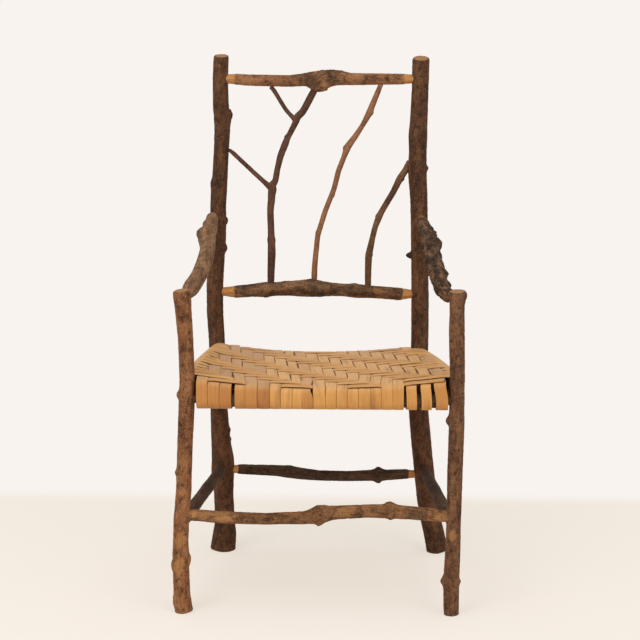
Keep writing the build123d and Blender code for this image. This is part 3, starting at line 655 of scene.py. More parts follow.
@dataclass(frozen=True)
class Tracer:
    """Reads the middle line and the girth of a branch from its frame node.

    Attributes:
        step: Distance between the cuts.
        ring: Distance between the rings of the new limb.
        blur: How far the girth is smoothed along the branch.
        steep: Change of radius in a metre that only a whittled end has.
        reach: How far from its ends a branch can be whittled.
        worn: Rounding of the edge of an end.
        jump: Distance from cut to cut at which the limb has ended and another is found.
        root: How far a side limb runs on into the limb that it grows from.
        flare: How much wider it is there.
        onward: Whether a whole limb runs on in that way too, past its last cut.
        overcut: How far the knife marks go past a whittled cone.
        blunt: How far a whittled cone is rounded out, from 0 to 1.
        full: The same for an end whose cone doesn't show.
        fewest: Points that a whole cut has at least.
        least_area: Smallest area of a whole cut, as a part of the usual one.
    """

    step: float = 2.5 * MM
    ring: float = 1.6 * MM
    blur: float = 3.5 * MM
    steep: float = 0.13
    reach: float = 75 * MM
    worn: float = 2.0 * MM
    jump: float = 12.0 * MM
    root: float = 20.0 * MM
    flare: float = 1.4
    onward: bool = False
    overcut: float = 2.5 * MM
    blunt: float = 0.6
    full: float = 0.9
    fewest: int = 8
    least_area: float = 0.2

    INSIDE = 0.1 * MM
    FEWEST_CUTS = 8
    LAST_CUTS = 4
    EDGE_RINGS, END_RINGS = 4, 8
    EDGE_DROP = 0.75
    END_GIRTH, END_STEP = 0.01, 0.01 * MM

    def limb(
        self, node: str, run: Run, ends: Ends,
        span: tuple[float, float] | None = None, keep: Keep = Keep.ALL,
    ) -> Limb:
        """Trace one limb of a node.

        Args:
            node: The frame node.
            run: The way that the limb mostly runs.
            ends: Which of its ends show knife-cut wood.
            span: Where it starts and ends on that axis, if it isn't the whole node.
            keep: Which limb to follow where a cut crosses several.

        Returns:
            The limb, with its rings evenly spaced and both its ends closed.
        """
        axis, side = run.value
        triangles = mesh_triangles(node)
        places = triangles[:, :, axis]
        low, high = span or (places.min() + self.INSIDE, places.max() - self.INSIDE)
        levels = np.linspace(low, high, max(self.FEWEST_CUTS, round((high - low) / self.step)))
        flat = [other for other in range(3) if other != axis]
        middles, areas = [], []
        for level in levels:
            found = one_limb(cut(triangles, axis, level), keep)[:, flat]
            if len(found) < self.fewest:
                continue
            place, area = hull_middle(found)
            middle = np.full(3, level)
            middle[flat] = place
            middles.append(middle)
            areas.append(area)
        whole = np.array(areas) > self.least_area * np.median(areas)
        points, areas = np.array(middles)[whole], np.array(areas)[whole]
        jumps = np.nonzero(np.linalg.norm(np.diff(points, axis=0), axis=1) > self.jump)[0] + 1
        stretches = itertools.pairwise([0, *jumps, len(points)])
        first, last = max(stretches, key=lambda pair: pair[1] - pair[0])
        points, areas = points[first:last], areas[first:last]
        ways = np.gradient(smoothed(points, self.blur / self.step), axis=0)
        slant = np.abs(ways[:, axis]) / np.linalg.norm(ways, axis=1)
        radii = np.sqrt(areas * slant / math.pi)
        if span or self.onward:
            way = points[-1] - points[-self.LAST_CUTS]
            way /= np.linalg.norm(way)
            steps = np.arange(1, round(self.root / self.step) + 1)
            points = np.concatenate([points, points[-1] + way * (steps * self.step)[:, None]])
            radii = np.concatenate([radii, radii[-1] * (1 + (self.flare - 1) * steps / steps[-1])])
        knife = self.knife_line(points, radii, ends)
        radii = self.shouldered(radii, knife, self.full if ends is Ends.HIDDEN else self.blunt)
        if ends is Ends.HIDDEN:
            knife = np.full(len(points), -1.0)
        reach = self.blur / self.step
        return self.closed(smoothed(points, reach), smoothed(radii, reach), knife, side)

    def knife_line(self, points: np.ndarray, radii: np.ndarray, ends: Ends) -> np.ndarray:
        """How far each place lies inside a whittled end, below zero on the bark."""
        along = np.concatenate([[0], np.cumsum(np.linalg.norm(np.diff(points, axis=0), axis=1))])
        slope = np.gradient(smoothed(radii, 1.0), along)
        start = self.cone_end(along, slope) if ends is not Ends.BARK else -1.0
        end = -1.0
        if ends in (Ends.BOTH, Ends.HIDDEN):
            end = self.cone_end(along[-1] - along[::-1], -slope[::-1])
        return np.maximum(start - along, end - (along[-1] - along))

    def shouldered(self, radii: np.ndarray, knife: np.ndarray, blunt: float) -> np.ndarray:
        """The radii with the whittled cones rounded out towards their tenons."""
        inside = np.clip(knife - self.overcut, 0, None)
        full = np.interp(np.arange(len(radii)), np.nonzero(inside == 0)[0], radii[inside == 0])
        return radii + (full - radii) * blunt * (inside > 0)

    def cone_end(self, along: np.ndarray, slope: np.ndarray) -> float:
        """Where the whittled cone behind the tenon at the start ends."""
        steep = (slope > self.steep) & (along < self.reach) & (along > self.worn)
        if not steep.any():
            return 0.0
        first = int(steep.argmax())
        last = first + int((~steep[first:]).argmax())
        return float(along[last]) + self.overcut

    def closed(self, points: np.ndarray, radii: np.ndarray, knife: np.ndarray, side: Any) -> Limb:
        """Space the rings evenly, round the edges of both ends and close them."""
        along = np.concatenate([[0], np.cumsum(np.linalg.norm(np.diff(points, axis=0), axis=1))])
        body = np.linspace(0, along[-1], round(along[-1] / self.ring))
        edge = self.worn * (1 - np.cos(np.linspace(0, math.pi / 2, self.EDGE_RINGS + 2)[1:-1]))
        places = np.unique(np.concatenate([body, edge, along[-1] - edge]))
        lines = [np.interp(places, along, points[:, c]) for c in range(3)]
        middles = np.stack(lines, axis=1)
        from_end = np.minimum(np.minimum(places, along[-1] - places) / self.worn, 1)
        drop = self.EDGE_DROP * self.worn * (1 - np.sqrt(1 - (1 - from_end) ** 2))
        girth = np.interp(places, along, radii) - drop
        blade = np.interp(places, along, knife)
        shrink = np.linspace(1, 0, self.END_RINGS + 1)[1:]
        shrink[-1] = self.END_GIRTH
        ways = (middles[0] - middles[1], middles[-1] - middles[-2])
        first, last = (way / np.linalg.norm(way) * self.END_STEP for way in ways)
        count = np.arange(1, len(shrink) + 1)[:, None]
        start, end = middles[0] + first * count, middles[-1] + last * count
        return Limb(
            np.concatenate([start[::-1], middles, end]),
            np.concatenate([girth[0] * shrink[::-1], girth, girth[-1] * shrink]),
            np.concatenate([np.full(len(shrink), blade[0]), blade, np.full(len(shrink), blade[-1])]),
            np.concatenate([np.ones(len(shrink)), np.zeros(len(girth)), np.ones(len(shrink))]),
            side,
        )


def write_attribute(mesh: bpy.types.Mesh, name: str, values: np.ndarray) -> None:
    """Store numbers or vectors on a mesh's points."""
    kind, word = (VECTOR, "vector") if values.ndim == 2 else ("FLOAT", "value")
    layer = mesh.attributes.new(name, kind, "POINT")
    layer.data.foreach_set(word, np.ascontiguousarray(values, dtype=np.float32).ravel())


def new_object(name: str, data: bpy.types.ID) -> bpy.types.Object:
    """Put a mesh, a lamp or a camera into the scene as an object, and return the object."""
    made = bpy.data.objects.new(name, data)
    bpy.context.scene.collection.objects.link(made)
    return made


def guide_object(name: str, lines: list[dict[str, Any]]) -> bpy.types.Object:
    """Make the mesh of loose edges that a node tree follows.

    Args:
        name: The object's name.
        lines: For each line its "points", whether it is "closed", and its point attributes.

    Returns:
        The guide, which is removed when its piece is plain.
    """
    mesh = bpy.data.meshes.new(name)
    points = np.concatenate([line["points"] for line in lines])
    edges: list[tuple[int, int]] = []
    first = 0
    for line in lines:
        count = len(line["points"])
        edges += [(first + k, first + k + 1) for k in range(count - 1)]
        if line.get("closed"):
            edges.append((first + count - 1, first))
        first += count
    mesh.from_pydata([tuple(p) for p in points], edges, [])
    names = [key for key in lines[0] if key not in ("points", "closed")]
    for key in names:
        write_attribute(mesh, key, np.concatenate([line[key] for line in lines]))
    return new_object(name, mesh)


class TreeKit(Graph):
    """A geometry node tree under construction, with a kind and a usual value for each input."""

    NAME = ""
    INPUTS: dict[str, tuple[str, Any]] = {}

    def __init__(self) -> None:
        """Start a tree that takes and gives geometry and has the named inputs."""
        super().__init__(bpy.data.node_groups.new(self.NAME, "GeometryNodeTree"))
        sockets = self.tree.interface
        for way in ("INPUT", "OUTPUT"):
            sockets.new_socket("Geometry", in_out=way, socket_type="NodeSocketGeometry")
        for key, (kind, value) in self.INPUTS.items():
            made = sockets.new_socket(key, in_out="INPUT", socket_type=f"NodeSocket{kind}")
            if value is not None:
                made.default_value = value
        self.sources = self.tree.nodes.new("NodeGroupInput")

    def given(self, name: str) -> Any:
        """The output that holds a named input's value."""
        return self.sources.outputs[name]

    def position(self) -> Any:
        """The output that holds each point's place."""
        return self.add("GeometryNodeInputPosition").outputs[0]

    def named(self, name: str, kind: str = "FLOAT") -> Any:
        """Read an attribute by its name, and return the output."""
        node = self.add("GeometryNodeInputNamedAttribute", {"Name": name}, data_type=kind)
        return next(s for s in node.outputs if s.enabled and s.name == "Attribute")

    def store(self, geometry: Any, name: str, value: Any, kind: str = "FLOAT") -> Any:
        """Store an attribute on the points, and return the geometry's output."""
        node = self.add("GeometryNodeStoreNamedAttribute", data_type=kind, domain="POINT")
        self.feed(node.inputs["Geometry"], geometry)
        self.feed(node.inputs["Name"], name)
        self.feed(next(s for s in node.inputs if s.name == "Value" and s.enabled), value)
        return node.outputs[0]

    def without(self, geometry: Any, names: tuple[str, ...]) -> Any:
        """Take attributes off that have done their work, and return the geometry's output."""
        for name in names:
            feeds = {"Geometry": geometry, "Name": name}
            geometry = self.add("GeometryNodeRemoveAttribute", feeds).outputs[0]
        return geometry

    def moved(self, geometry: Any, offset: Any) -> Any:
        """Move every point by its offset, and return the geometry's output."""
        return self.add("GeometryNodeSetPosition", {"Geometry": geometry, "Offset": offset}).outputs[0]

    def swept(self, line: Any, profile: Any, scale: Any) -> Any:
        """Sweep a profile along a line, with closed ends, and return the geometry's output."""
        feeds = {"Curve": line, "Profile Curve": profile, "Scale": scale, "Fill Caps": True}
        return self.add("GeometryNodeCurveToMesh", feeds).outputs[0]

    def finish(self, geometry: Any) -> bpy.types.NodeTree:
        """End the tree in real geometry with its material, and return it."""
        real = self.add("GeometryNodeRealizeInstances", {"Geometry": geometry}).outputs[0]
        feeds = {"Geometry": real, "Material": self.given("Material")}
        dressed = self.add("GeometryNodeSetMaterial", feeds).outputs[0]
        output = self.tree.nodes.new("NodeGroupOutput")
        self.feed(output.inputs[0], dressed)
        return self.tree


def grow(
    name: str, guide: bpy.types.Object, tree: bpy.types.NodeTree, inputs: dict[str, Any]
) -> bpy.types.Object:
    """Run a node tree on a guide and keep the result as a plain mesh.

    Args:
        name: The finished piece's name.
        guide: The object that the tree reads.
        tree: The geometry node tree.
        inputs: Values for the tree's named inputs.

    Returns:
        The finished piece, at the origin.
    """
    modifier = guide.modifiers.new("grow", "NODES")
    modifier.node_group = tree
    sockets = [s for s in tree.interface.items_tree if s.item_type == "SOCKET" and s.in_out == "INPUT"]
    identifiers = {s.name: s.identifier for s in sockets}
    for key, value in inputs.items():
        modifier[identifiers[key]] = value
    depsgraph = bpy.context.evaluated_depsgraph_get()
    mesh = bpy.data.meshes.new_from_object(guide.evaluated_get(depsgraph), depsgraph=depsgraph)
    mesh.name = name
    bpy.data.objects.remove(guide)
    mesh.shade_smooth()
    return new_object(name, mesh)


def settle(piece: bpy.types.Object, node: str, slot: str) -> None:
    """Put a finished piece in its node's place, and report it.

    Args:
        piece: The finished piece.
        node: The frame node that it stands for.
        slot: Not used.
    """
    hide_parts(node)
    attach(piece, BODY)
    log.info("%s: %d faces", piece.name, len(piece.data.polygons))


class BarkTree(TreeKit):
    """The tree that turns a limb's middle line into bark with knots and knife-cut ends.

    The grain that it stores is the place on the unrolled bark: across the limb, across it the
    other way, and along it. Every noise of the bark, and every mark, is laid out in the grain.
    """

    NAME = "Branch"
    INPUTS = {
        "Marks": ("Object", None),
        "Sides": ("Int", 64),
        "Lobes": ("Float", 0.06),
        "Roughness": ("Float", 0.6 * MM),
        "Furrows": ("Float", 0.4 * MM),
        "Furrow Width": ("Float", 7 * MM),
        "Bark Thickness": ("Float", 0.7 * MM),
        "Slant": ("Float", 0.0),
        "Seed": ("Float", 0.0),
        "Material": ("Material", None),
    }
    SPENT = ("rise", "middle", "side", "other", "girth", "knife", "along", "tip", "bulk")

    WANDER = Noise(130.0, 2.0, 0.5)
    GNARL = Noise(210.0, 4.0, 0.62, seed=2.2)
    RAGGED = Noise(160.0, 2.0, 0.5)
    LOBES = Noise(0.7, 1.5, 0.5)
    CRUST = Noise(260.0, 5.0, 0.6, along=0.5)
    SWAY = Noise(190.0, 2.0, 0.5, seed=4.0)
    BREAKS = Noise(75.0, 2.0, 0.5, seed=6.0)

    # Where a value starts to count and counts in full, and in some what it becomes there.
    WANDERING = (0.3, 0.7, 0.72, 1.35)
    GNARLED = (0.3, 0.72, -0.8, 1.0)
    PEELED = (0.42, 0.56)
    KNIFE_EDGE = (-0.4 * MM, 0.4 * MM)
    FURROWED = (0.0, 0.16, 1.0, 0.0)
    UNBROKEN = (0.44, 0.6)
    DIPPED = (0.46, 0.33)
    RIDGED = (0.53, 0.68)

    LEAST_GIRTH = 1 * MM
    HILL_FALL = -1.1
    KNOT_DARKENING = 1.25
    RAGGED_REACH = 14 * MM
    LOBE_LENGTH = 55 * MM
    CRUST_LEVEL, CRUST_HEIGHT = 0.55, 2.0
    FURROW_STRETCH, FURROW_SWAY = 0.28, 1.3
    SCRATCH_RATE = 1600.0
    DIP_DEPTH = 0.7
    FACET = 2 * math.pi / 7
    FACET_TWIST = 9.0
    FACET_LEVEL = 0.97
    SLANT_LEVEL = 0.25

    def __init__(self) -> None:
        """Start the tree, with the outputs that most of its steps read."""
        super().__init__()
        self.seed = self.given("Seed")
        self.grain = self.named("grain", VECTOR)
        self.girth = self.math("MAXIMUM", self.named("girth"), self.LEAST_GIRTH)
        self.uncut = self.math("SUBTRACT", 1.0, self.named("sawn"))
        self.offset = self.vector("SUBTRACT", self.position(), self.named("middle", VECTOR))
        marks = self.add("GeometryNodeObjectInfo", {"Object": self.given("Marks")})
        self.marks = marks.outputs["Geometry"]
        feeds = {0: self.marks, "Sample Position": self.grain}
        self.nearest = self.add("GeometryNodeSampleNearest", feeds, domain="POINT").outputs[0]

    def of_mark(self, name: str, kind: str = "FLOAT") -> Any:
        """Read an attribute of the nearest mark, or its place where no name is given."""
        feeds = {0: self.marks, "Index": self.nearest}
        node = self.add("GeometryNodeSampleIndex", feeds, data_type=kind, domain="POINT")
        source = self.named(name, kind) if name else self.position()
        self.feed(next(s for s in node.inputs if s.name == "Value" and s.enabled), source)
        return node.outputs[0]

    def body(self) -> Any:
        """Sweep a circle along the middle line and store its grain, and return the geometry."""
        side = self.named("side", VECTOR)
        line = self.add("GeometryNodeMeshToCurve", {0: self.given("Geometry")}).outputs[0]
        line = self.add("GeometryNodeSetCurveNormal", {0: line, "Normal": side}, mode="FREE").outputs[0]
        line = self.store(line, "along", self.add("GeometryNodeSplineParameter").outputs["Length"])
        line = self.store(line, "middle", self.position(), VECTOR)
        feeds = {"Resolution": self.given("Sides"), "Radius": 1.0}
        circle = self.add("GeometryNodeCurvePrimitiveCircle", feeds).outputs[0]
        body = self.swept(line, circle, self.named("girth"))
        cos = self.vector("DOT_PRODUCT", self.offset, side)
        sin = self.vector("DOT_PRODUCT", self.offset, self.named("other", VECTOR))
        return self.store(body, "grain", self.join(cos, sin, self.named("along")), VECTOR)

    def hill(self) -> Any:
        """How near each place is to its mark, from 0 to 1 at the mark, as an output."""
        x, y, z = self.parts(self.vector("SUBTRACT", self.grain, self.of_mark("", VECTOR)))
        gap = self.join(x, y, self.math("DIVIDE", z, self.of_mark("stretch")))
        away = self.math("DIVIDE", self.vector("LENGTH", gap), self.of_mark("size"))
        wander = self.noise(self.grain, self.WANDER, self.seed)
        away = self.product(away, self.ramp(wander, *self.WANDERING))
        return self.math("EXPONENT", self.product(away, away, self.HILL_FALL))

    def blade(self) -> Any:
        """Where the knife has been, with a ragged edge of bark, as an output."""
        ragged = self.math("SUBTRACT", self.noise(self.grain, self.RAGGED, self.seed), 0.5)
        ragged = self.product(ragged, self.RAGGED_REACH)
        return self.ramp(self.math("ADD", self.named("knife"), ragged), *self.KNIFE_EDGE)

    def furrow(self, bark: Any) -> Any:
        """Where long cracks part the bark into plates, as an output."""
        narrow = self.math("DIVIDE", 1.0, self.given("Furrow Width"))
        plates = self.join(narrow, narrow, self.product(narrow, self.FURROW_STRETCH))
        sway = self.noise(self.grain, self.SWAY, self.seed)
        sway = self.scaled(self.join(sway, sway, sway), self.FURROW_SWAY)
        feeds = {"Vector": self.vector("ADD", self.vector("MULTIPLY", self.grain, plates), sway)}
        feeds |= {"W": self.seed, "Scale": 1.0}
        settings = {"voronoi_dimensions": "4D", "feature": "DISTANCE_TO_EDGE"}
        edges = self.add("ShaderNodeTexVoronoi", feeds, **settings).outputs["Distance"]
        breaks = self.ramp(self.noise(self.grain, self.BREAKS, self.seed), *self.UNBROKEN)
        return self.product(self.ramp(edges, *self.FURROWED), breaks, bark)

    def lobes(self) -> Any:
        """How much thicker or thinner the limb is in long lobes, as an output."""
        place = self.vector("DIVIDE", self.grain, self.join(self.girth, self.girth, self.LOBE_LENGTH))
        lobes = self.math("SUBTRACT", self.noise(place, self.LOBES, self.seed), 0.5)
        return self.product(lobes, self.girth, self.given("Lobes"), self.uncut)

    def planed(self, blade: Any) -> Any:
        """How far the knife's long flats stand out between their edges, as an output."""
        x, y, z = self.parts(self.grain)
        turn = self.math("ADD", self.math("ARCTAN2", y, x), self.product(z, self.FACET_TWIST))
        phase = self.math("SUBTRACT", self.math("FLOORED_MODULO", turn, self.FACET), self.FACET / 2)
        flat = self.math("DIVIDE", math.cos(self.FACET / 2), self.math("COSINE", phase))
        return self.product(self.math("SUBTRACT", flat, self.FACET_LEVEL), self.girth, blade)

    def slanted(self, body: Any) -> Any:
        """Slant the sawn top, low in front and high behind, and return the geometry."""
        _, behind, _ = self.parts(self.offset)
        behind = self.math("DIVIDE", behind, self.product(self.named("bulk"), 2.0))
        forward = self.math("SUBTRACT", self.SLANT_LEVEL, behind)
        fall = self.product(forward, self.given("Slant"), self.named("tip"), -1.0)
        return self.moved(body, self.join(0.0, 0.0, fall))

    def boxed(self, body: Any) -> Any:
        """Keep every point inside the frame's box, and return the geometry."""
        low, high = (tuple(v) for v in CAD_BOX)
        inside = self.vector("MINIMUM", self.vector("MAXIMUM", self.position(), low), high)
        return self.add("GeometryNodeSetPosition", {"Geometry": body, "Position": inside}).outputs[0]

    def built(self) -> bpy.types.NodeTree:
        """Wire the steps in order, and return the tree."""
        body = self.body()
        hill, blade = self.hill(), self.blade()
        peeled = self.product(self.ramp(hill, *self.PEELED), self.of_mark("bare"))
        bare = self.math("MAXIMUM", blade, peeled, clamp=True)
        bark = self.math("SUBTRACT", 1.0, self.math("MAXIMUM", bare, self.named("sawn")), clamp=True)
        crust = self.noise(self.grain, self.CRUST, self.seed)
        furrow, furrows = self.furrow(bark), self.given("Furrows")

        gnarl = self.ramp(self.noise(self.grain, self.GNARL, self.seed), *self.GNARLED)
        warts = self.product(hill, self.of_mark("rough"), gnarl)
        swell = self.math("SUBTRACT", crust, self.CRUST_LEVEL)
        swell = self.product(swell, self.given("Roughness"), self.CRUST_HEIGHT)
        rough = self.math("SUBTRACT", swell, self.product(furrow, furrows))
        rough = self.product(self.math("ADD", rough, warts), bark)
        bump = self.product(self.of_mark("height"), hill)
        rise = self.math("ADD", self.lobes(), rough)
        rise = self.math("ADD", rise, self.math("ADD", bump, self.planed(blade)))
        rise = self.math("SUBTRACT", rise, self.product(bare, self.given("Bark Thickness")))

        scratches = self.product(furrow, self.product(furrows, self.SCRATCH_RATE))
        dips = self.product(self.ramp(crust, *self.DIPPED), self.DIP_DEPTH, bark)
        darkened = self.math("MULTIPLY", hill, self.KNOT_DARKENING, clamp=True)
        for name, value in (
            ("bare", bare),
            ("relief", self.math("MAXIMUM", self.math("MINIMUM", scratches, 1.0), dips)),
            ("ridge", self.ramp(crust, *self.RIDGED)),
            ("knot", self.product(darkened, self.of_mark("dark"))),
            ("rise", rise),
        ):
            body = self.store(body, name, value)
        normal = self.add("GeometryNodeInputNormal").outputs[0]
        body = self.moved(body, self.scaled(normal, self.named("rise")))
        body = self.boxed(self.slanted(body))
        return self.finish(self.without(body, self.SPENT))


@dataclass(frozen=True)
class Fork:
    """A side limb of a branch."""

    run: Run
    span: tuple[float, float]
    keep: Keep
    ends: Ends


@dataclass
class Branch:
    """One bark-on branch of the chair, which replaces its frame node."""

    node: str
    run: Run
    finish: Bark
    slot: str
    seed: float
    marks: tuple[Mark, ...] = ()
    forks: tuple[Fork, ...] = ()
    keep: Keep = Keep.ALL
    ends: Ends = Ends.BOTH
    lobes: float = 0.1
    rough: float = 0.8 * MM
    furrows: float = 0.55 * MM
    furrow_width: float = 7 * MM
    bark: float = 0.8 * MM
    slant: float = 0.0
    tracer: Tracer = field(default_factory=Tracer)

    SLANT_REACH = 40 * MM
    LEAST_BULK = 0.8
    FEWEST_SIDES, MOST_SIDES = 24, 96
    UNITS = {"size": MM, "height": MM, "bare": 1, "dark": 1, "rough": MM, "stretch": 1}
    NO_MARK = Mark(0.0, 0.0, height=0.0, dark=0.0)

    def mark_points(self, limb: Limb, marks: tuple[Mark, ...]) -> bpy.types.Object:
        """Lay the marks out as loose points in the space of the unrolled bark."""
        along = np.concatenate([[0], np.cumsum(np.linalg.norm(np.diff(limb.points, axis=0), axis=1))])
        axis, _ = self.run.value
        rows = marks or (self.NO_MARK,)
        places = []
        for mark in rows:
            at = float(np.interp(mark.at * MM, limb.points[:, axis], along))
            girth = float(np.interp(at, along, limb.radii))
            angle = math.radians(mark.turn)
            places.append((girth * math.cos(angle), girth * math.sin(angle), at))
        mesh = bpy.data.meshes.new(f"{self.node}_marks")
        mesh.from_pydata(places, [], [])
        for key, unit in self.UNITS.items():
            write_attribute(mesh, key, np.array([getattr(mark, key) * unit for mark in rows]))
        return new_object(mesh.name, mesh)

    def make_limb(
        self, name: str, limb: Limb, marks: tuple[Mark, ...], tree: bpy.types.NodeTree
    ) -> bpy.types.Object:
        """Grow one limb from its middle line.

        Args:
            name: The new object's name.
            limb: Its middle line and girth.
            marks: Its knots, scars and bare patches.
            tree: The tree that grows bark.

        Returns:
            The limb as a plain mesh.
        """
        sides = limb.sides()
        below = limb.points[-1][2] - limb.points[:, 2]
        line = {
            "points": limb.points,
            "girth": limb.radii,
            "knife": limb.knife,
            "sawn": limb.sawn,
            "side": sides,
            "other": np.cross(limb.tangents(), sides),
            "tip": np.clip(1 - below / self.SLANT_REACH, 0, 1) ** 2,
            "bulk": np.maximum(limb.radii, limb.radii.max() * self.LEAST_BULK),
        }
        guide = guide_object(name, [line])
        holder = self.mark_points(limb, marks)
        around = 2 * math.pi * np.median(limb.radii) / self.tracer.ring
        inputs = {
            "Marks": holder,
            "Sides": int(np.clip(around, self.FEWEST_SIDES, self.MOST_SIDES)),
            "Lobes": self.lobes,
            "Roughness": self.rough,
            "Furrows": self.furrows,
            "Furrow Width": self.furrow_width,
            "Bark Thickness": self.bark,
            "Slant": self.slant,
            "Seed": self.seed,
            "Material": self.finish.material(),
        }
        piece = grow(name, guide, tree, inputs)
        bpy.data.objects.remove(holder)
        return piece

    def build(self, tree: bpy.types.NodeTree) -> None:
        """Make the branch with its forks as one piece, and put it in its node's place."""
        name = f"{self.node}_bark"
        whole = self.tracer.limb(self.node, self.run, self.ends, keep=self.keep)
        piece = self.make_limb(name, whole, self.marks, tree)
        for fork in self.forks:
            limb = self.tracer.limb(self.node, fork.run, fork.ends, fork.span, fork.keep)
            piece = joined(piece, self.make_limb(f"{name}_fork", limb, (), tree))
        settle(piece, self.node, self.slot)


def joined(piece: bpy.types.Object, extra: bpy.types.Object) -> bpy.types.Object:
    """Join a second mesh into a piece, and return the piece."""
    with bpy.context.temp_override(active_object=piece, selected_editable_objects=[piece, extra]):
        bpy.ops.object.join()
    return piece


class SplintTree(TreeKit):
    """The tree that lays flat split wood along guide lines."""

    NAME = "Splint"
    INPUTS = {
        "Spacing": ("Float", 3.6 * MM),
        "Sides": ("Int", 16),
        "Thickness": ("Float", 0.045),
        "Cup": ("Float", 0.012),
        "Ripple": ("Float", 0.25 * MM),
        "Fray": ("Float", 0.05),
        "Material": ("Material", None),
    }
    SPENT = ("out", "width", "strip", "along", "across", "face")

    FRAYED = Noise(45.0, 3.0, 0.6, seed=3.0)
    RIPPLED = Noise(110.0, 3.0, 0.55, seed=5.0)
    RIPPLE_RUN = (1.0, 0.0, 0.35)
    STRIPS_APART = 1.7
    SQUARE_ACROSS, SQUARE_FACE = 1.9, 2.6
    FACE_GRAIN = 1 * MM
    RIM = (0.4, 0.5)

    def line(self) -> Any:
        """Draw the guide lines as smooth curves with their outer side, and return the geometry."""
        line = self.add("GeometryNodeMeshToCurve", {0: self.given("Geometry")}).outputs[0]
        line = self.add("GeometryNodeCurveSplineType", {0: line}, spline_type="NURBS").outputs[0]
        feeds = {"Curve": line, "Length": self.given("Spacing")}
        line = self.add("GeometryNodeResampleCurve", feeds, mode="LENGTH").outputs[0]
        length = self.add("GeometryNodeSplineParameter").outputs["Length"]
        apart = self.product(self.named("strip"), self.STRIPS_APART)
        line = self.store(line, "along", self.math("ADD", length, apart))
        out = self.vector("NORMALIZE", self.named("out", VECTOR))
        return self.add("GeometryNodeSetCurveNormal", {0: line, "Normal": out}, mode="FREE").outputs[0]

    def squared(self, place: Any, sharpness: float) -> Any:
        """Push one axis of a circle out to half a unit each way, so that it has flat sides.

        Args:
            place: The output that holds the place on that axis.
            sharpness: How square the corners become.

        Returns:
            The output that holds the new place.
        """
        pushed = self.math("TANH", self.product(place, sharpness))
        return self.product(pushed, 0.5 / math.tanh(sharpness))

    def profile(self) -> Any:
        """Make the cross-section, a flat strip a unit wide with a crowned face."""
        feeds = {"Resolution": self.given("Sides"), "Radius": 1.0}
        circle = self.add("GeometryNodeCurvePrimitiveCircle", feeds).outputs[0]
        x, y, _ = self.parts(self.position())
        across, face = self.squared(y, self.SQUARE_ACROSS), self.squared(x, self.SQUARE_FACE)
        crown = self.math("SUBTRACT", 0.25, self.product(across, across))
        crown = self.product(crown, 4.0, self.given("Cup"))
        height = self.math("ADD", self.product(face, self.given("Thickness")), crown)
        feeds = {0: circle, "Position": self.join(height, across, 0.0)}
        strip = self.add("GeometryNodeSetPosition", feeds).outputs[0]
        return self.store(self.store(strip, "across", across), "face", face)

    def built(self) -> bpy.types.NodeTree:
        """Wire the steps in order, and return the tree."""
        along, across, usual = (self.named(name) for name in ("along", "across", "width"))
        frayed = self.math("SUBTRACT", self.noise(self.join(0.0, 0.0, along), self.FRAYED), 0.5)
        frayed = self.math("ADD", self.product(frayed, self.given("Fray")), 1.0)
        strip = self.swept(self.line(), self.profile(), self.product(frayed, usual))
        face = self.product(self.named("face"), self.FACE_GRAIN)
        grain = self.join(self.product(across, usual), face, along)
        strip = self.store(strip, "grain", grain, VECTOR)
        # The rims of each strip, which the finish darkens with grime and painted seam shade.
        strip = self.store(strip, "edge", self.ramp(self.math("ABSOLUTE", across), *self.RIM))
        place = self.vector("MULTIPLY", self.named("grain", VECTOR), self.RIPPLE_RUN)
        ripple = self.math("SUBTRACT", self.noise(place, self.RIPPLED), 0.5)
        ripple = self.product(ripple, self.given("Ripple"))
        strip = self.moved(strip, self.scaled(self.named("out", VECTOR), ripple))
        return self.finish(self.without(strip, self.SPENT))


@dataclass
class Rail:
    """The straight middle line of a seat rail, and its girth."""

    start: np.ndarray
    end: np.ndarray
    radius: float

    def at(self, depth: float) -> np.ndarray:
        """The middle of a side rail at a depth."""
        run = self.end - self.start
        return self.start + run * (depth - self.start[1]) / run[1]


@dataclass
class Strand:
    """The control points of one splint, each with the way that its outer face looks."""

    points: list[np.ndarray] = field(default_factory=list)
    out: list[np.ndarray] = field(default_factory=list)
    # How dusty each point is and how much painted top light it has, and how far it runs under another
    # splint, where painted shade goes.
    dust: list[float] = field(default_factory=list)
    dive: list[float] = field(default_factory=list)

    def lay(self, point: Any, out: Any, dust: float = 0.0, dive: float = 0.0) -> None:
        """Add one control point, with how dusty it is and how much painted top light it has, and how far
        it lies under another splint, where painted shade goes.
        """
        self.points.append(np.array(point, dtype=float))
        self.out.append(np.array(out, dtype=float))
        self.dust.append(dust)
        self.dive.append(dive)


